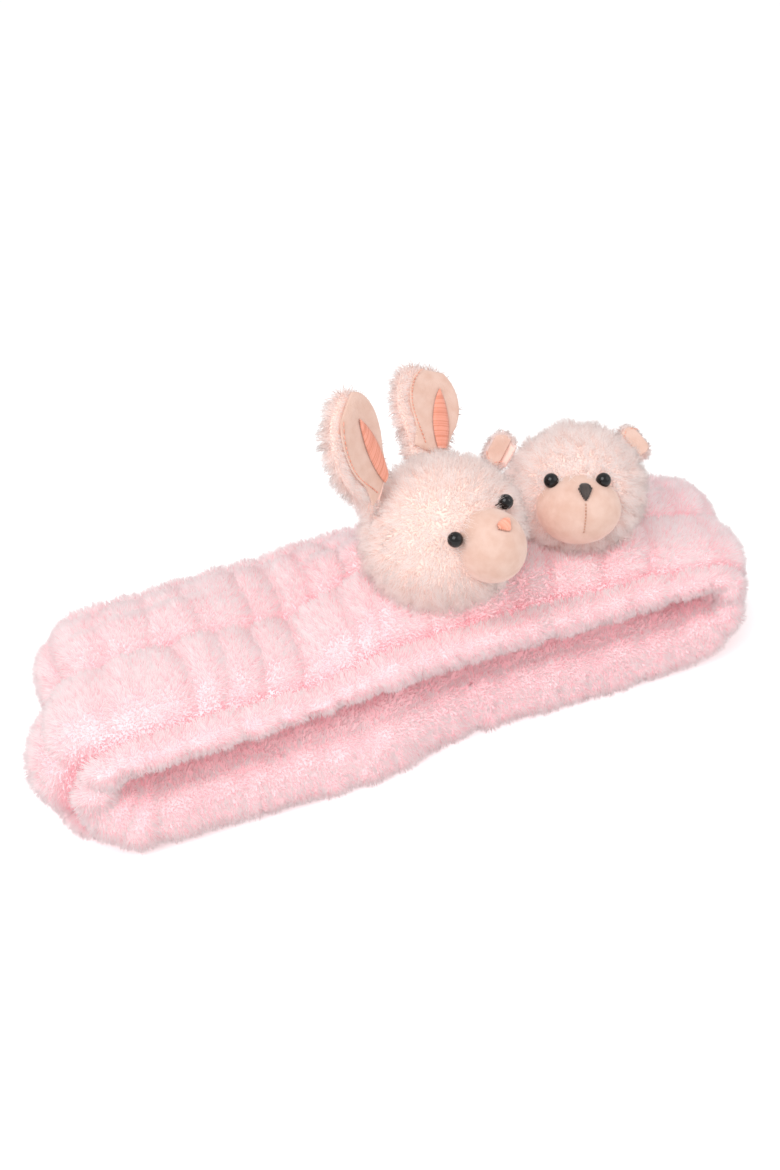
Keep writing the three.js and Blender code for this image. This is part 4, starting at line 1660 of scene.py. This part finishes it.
@dataclass
class Studio:
    """A pale floor, soft light and the camera."""

    azimuth: float = -26.5
    elevation: float = 34.6
    distance: float = 0.614
    lens: float = 55.4
    target: tuple[float, float, float] = (0.0, 0.003, 0.030)
    aside: float = -0.0045
    above: float = 0.0086

    def camera(self) -> None:
        """Sets the camera, with the view's middle a little off the target."""
        a, e = math.radians(self.azimuth), math.radians(self.elevation)
        back = Vector((math.sin(a) * math.cos(e), -math.cos(a) * math.cos(e), math.sin(e)))
        right = Vector((math.cos(a), math.sin(a), 0))
        up = back.cross(right)
        target = Vector(self.target)
        data = bpy.data.cameras.new("camera")
        data.sensor_fit = "VERTICAL"
        data.sensor_height = 36
        data.lens = self.lens
        data.clip_start = 0.01
        camera = bpy.data.objects.new("camera", data)
        bpy.context.scene.collection.objects.link(camera)
        camera.location = target + back * self.distance
        look = target + right * self.aside + up * self.above - camera.location
        camera.rotation_euler = look.to_track_quat("-Z", "Y").to_euler()
        bpy.context.scene.camera = camera

    def floor(self) -> None:
        """A plain pale floor."""
        mesh = bmesh.new()
        bmesh.ops.create_grid(mesh, x_segments=1, y_segments=1, size=6)
        data = bpy.data.meshes.new("floor")
        mesh.to_mesh(data)
        mesh.free()
        floor = bpy.data.objects.new("floor", data)
        bpy.context.scene.collection.objects.link(floor)
        material = bpy.data.materials.new("pale_floor")
        material.use_nodes = True
        shader = material.node_tree.nodes["Principled BSDF"]
        shader.inputs["Base Color"].default_value = (0.95, 0.95, 0.95, 1)
        shader.inputs["Roughness"].default_value = 0.9
        data.materials.append(material)

    def lights(self) -> None:
        """Soft light from all round, with a large key from the upper left."""
        world = bpy.data.worlds.new("studio")
        bpy.context.scene.world = world
        world.use_nodes = True
        world.node_tree.nodes["Background"].inputs[0].default_value = (1, 1, 1, 1)
        world.node_tree.nodes["Background"].inputs[1].default_value = 0.9
        for name, place, size, power in (
            ("key", (-0.7, -0.35, 1.1), 0.9, 11.0),
            ("fill", (0.9, -0.7, 0.8), 1.2, 3.5),
        ):
            data = bpy.data.lights.new(name, "AREA")
            data.size = size
            data.energy = power
            light = bpy.data.objects.new(name, data)
            bpy.context.scene.collection.objects.link(light)
            light.location = place
            light.rotation_euler = (-Vector(place)).to_track_quat("-Z", "Y").to_euler()
        bpy.context.scene.view_settings.view_transform = "Standard"

    def make(self) -> None:
        """Builds the studio, camera first."""
        self.camera()
        self.floor()
        self.lights()


# ---- Assembly -------------------------------------------------------------------------------


def rabbit_head() -> Head:
    """The rabbit's head, turned a little to its left and looking up."""
    crinkled = Pile(
        length=5.2,
        width=0.19,
        fibres=18500,
        tuft=2.8,
        gather=0.8,
        clumps=0.45,
        curl=0.5,
        turns=0.7,
        bends=1,
        lean=0.8,
    )
    return Head(
        name="bunny",
        radii=(28, 26, 26),
        turn=12,
        nod=-30,
        tilt=-12,
        muzzle_at=(0.0, -22, -6.2),
        muzzle_radii=(11.2, 11.4, 12.1),
        nose=Nose(side=9, up=28, width=6, height=4.6, finish=NOSE_SATIN),
        eye_side=25.8,
        eye_up=6,
        pile=crinkled,
        pile_finish=RABBIT_PILE,
        backing_finish=RABBIT_BACKING,
        seed=40,
    )


def rabbit_ears(head: Head) -> list[Ear]:
    """Builds the rabbit's long ears: the left one leans forwards, and the right one back.

    Args:
        head: the rabbit's head.

    Returns:
        The left ear and the right one.
    """
    pile = Pile(length=4.8, width=0.2, fibres=9000, tuft=2.6, gather=0.5, curl=0.4, bends=1, lean=0.6)
    leaf = Leaf(
        height=33, base=13, widest=0.58, thick=5.6, rim=2.0, pile=pile, aside=2.2, satin=(6.2, 21.0, 4.0)
    )
    return [
        Ear(head, leaf, Side.LEFT, around=-35, lean_back=-22, width=25, cant=24),
        Ear(head, leaf, Side.RIGHT, around=38, lean_back=12, width=23.5),
    ]


def bear_head() -> Head:
    """The bear's head, turned to its right and looking up."""
    knotted = Pile(
        length=4.8,
        width=0.21,
        fibres=17500,
        tuft=3.2,
        gather=1.0,
        clumps=0.6,
        curl=0.8,
        turns=1.1,
        bends=1,
        lean=0.8,
    )
    return Head(
        name="bear",
        radii=(24.5, 23, 23),
        turn=-31,
        nod=-35,
        tilt=-3,
        muzzle_at=(0.5, -16.3, -7.4),
        muzzle_radii=(14, 11.5, 11.6),
        nose=Nose(side=10, up=25, width=5.4, height=6.6, finish=BROWN_SATIN),
        eye_side=21.5,
        eye_up=4,
        pile=knotted,
        pile_finish=BEAR_PILE,
        backing_finish=BEAR_BACKING,
        seed=60,
        seamed=True,
    )


def bear_ears(head: Head) -> list[Ear]:
    """Builds the bear's small round ears.

    Args:
        head: the bear's head.

    Returns:
        The left ear and the right one.
    """
    pile = Pile(length=2.8, width=0.22, fibres=4200, tuft=2.6, gather=0.8, curl=0.5, bends=1, lean=0.5)
    leaf = Leaf(height=8.5, base=9, widest=0.45, thick=4.0, rim=1.2, pile=pile)
    return [
        Ear(head, leaf, Side.LEFT, around=-62, lean_back=2, width=13),
        Ear(head, leaf, Side.RIGHT, around=50, lean_back=24, width=13),
    ]


def dress_hidden_nodes() -> None:
    """Gives the pieces that stay as they are their own finishes."""
    finishes = {"stuffing": FIBREFILL, "washer": WASHER, "thread": PINK_THREAD}
    for name, node in frame["nodes"].items():
        if node.hide_render:
            continue
        finish = next((finish for word, finish in finishes.items() if word in name), None)
        if finish:
            finish.put_on(node)
        else:
            log.warning("%s has no finish of its own", name)


def main() -> None:
    """Builds the studio, the band, the heads and their ears."""
    logging.basicConfig(level=logging.INFO, format="%(name)s: %(message)s")
    Studio().make()
    rabbit, bear = rabbit_head(), bear_head()
    assemblies: list[Band | Head | Ear] = [Band(heads=[rabbit, bear]), rabbit, bear]
    assemblies += [*rabbit_ears(rabbit), *bear_ears(bear)]
    for assembly in assemblies:
        for piece in assembly.make():
            log.info("%s: %d faces", piece.name, len(piece.data.polygons))
    dress_hidden_nodes()


if __name__ == "__main__":
    main()
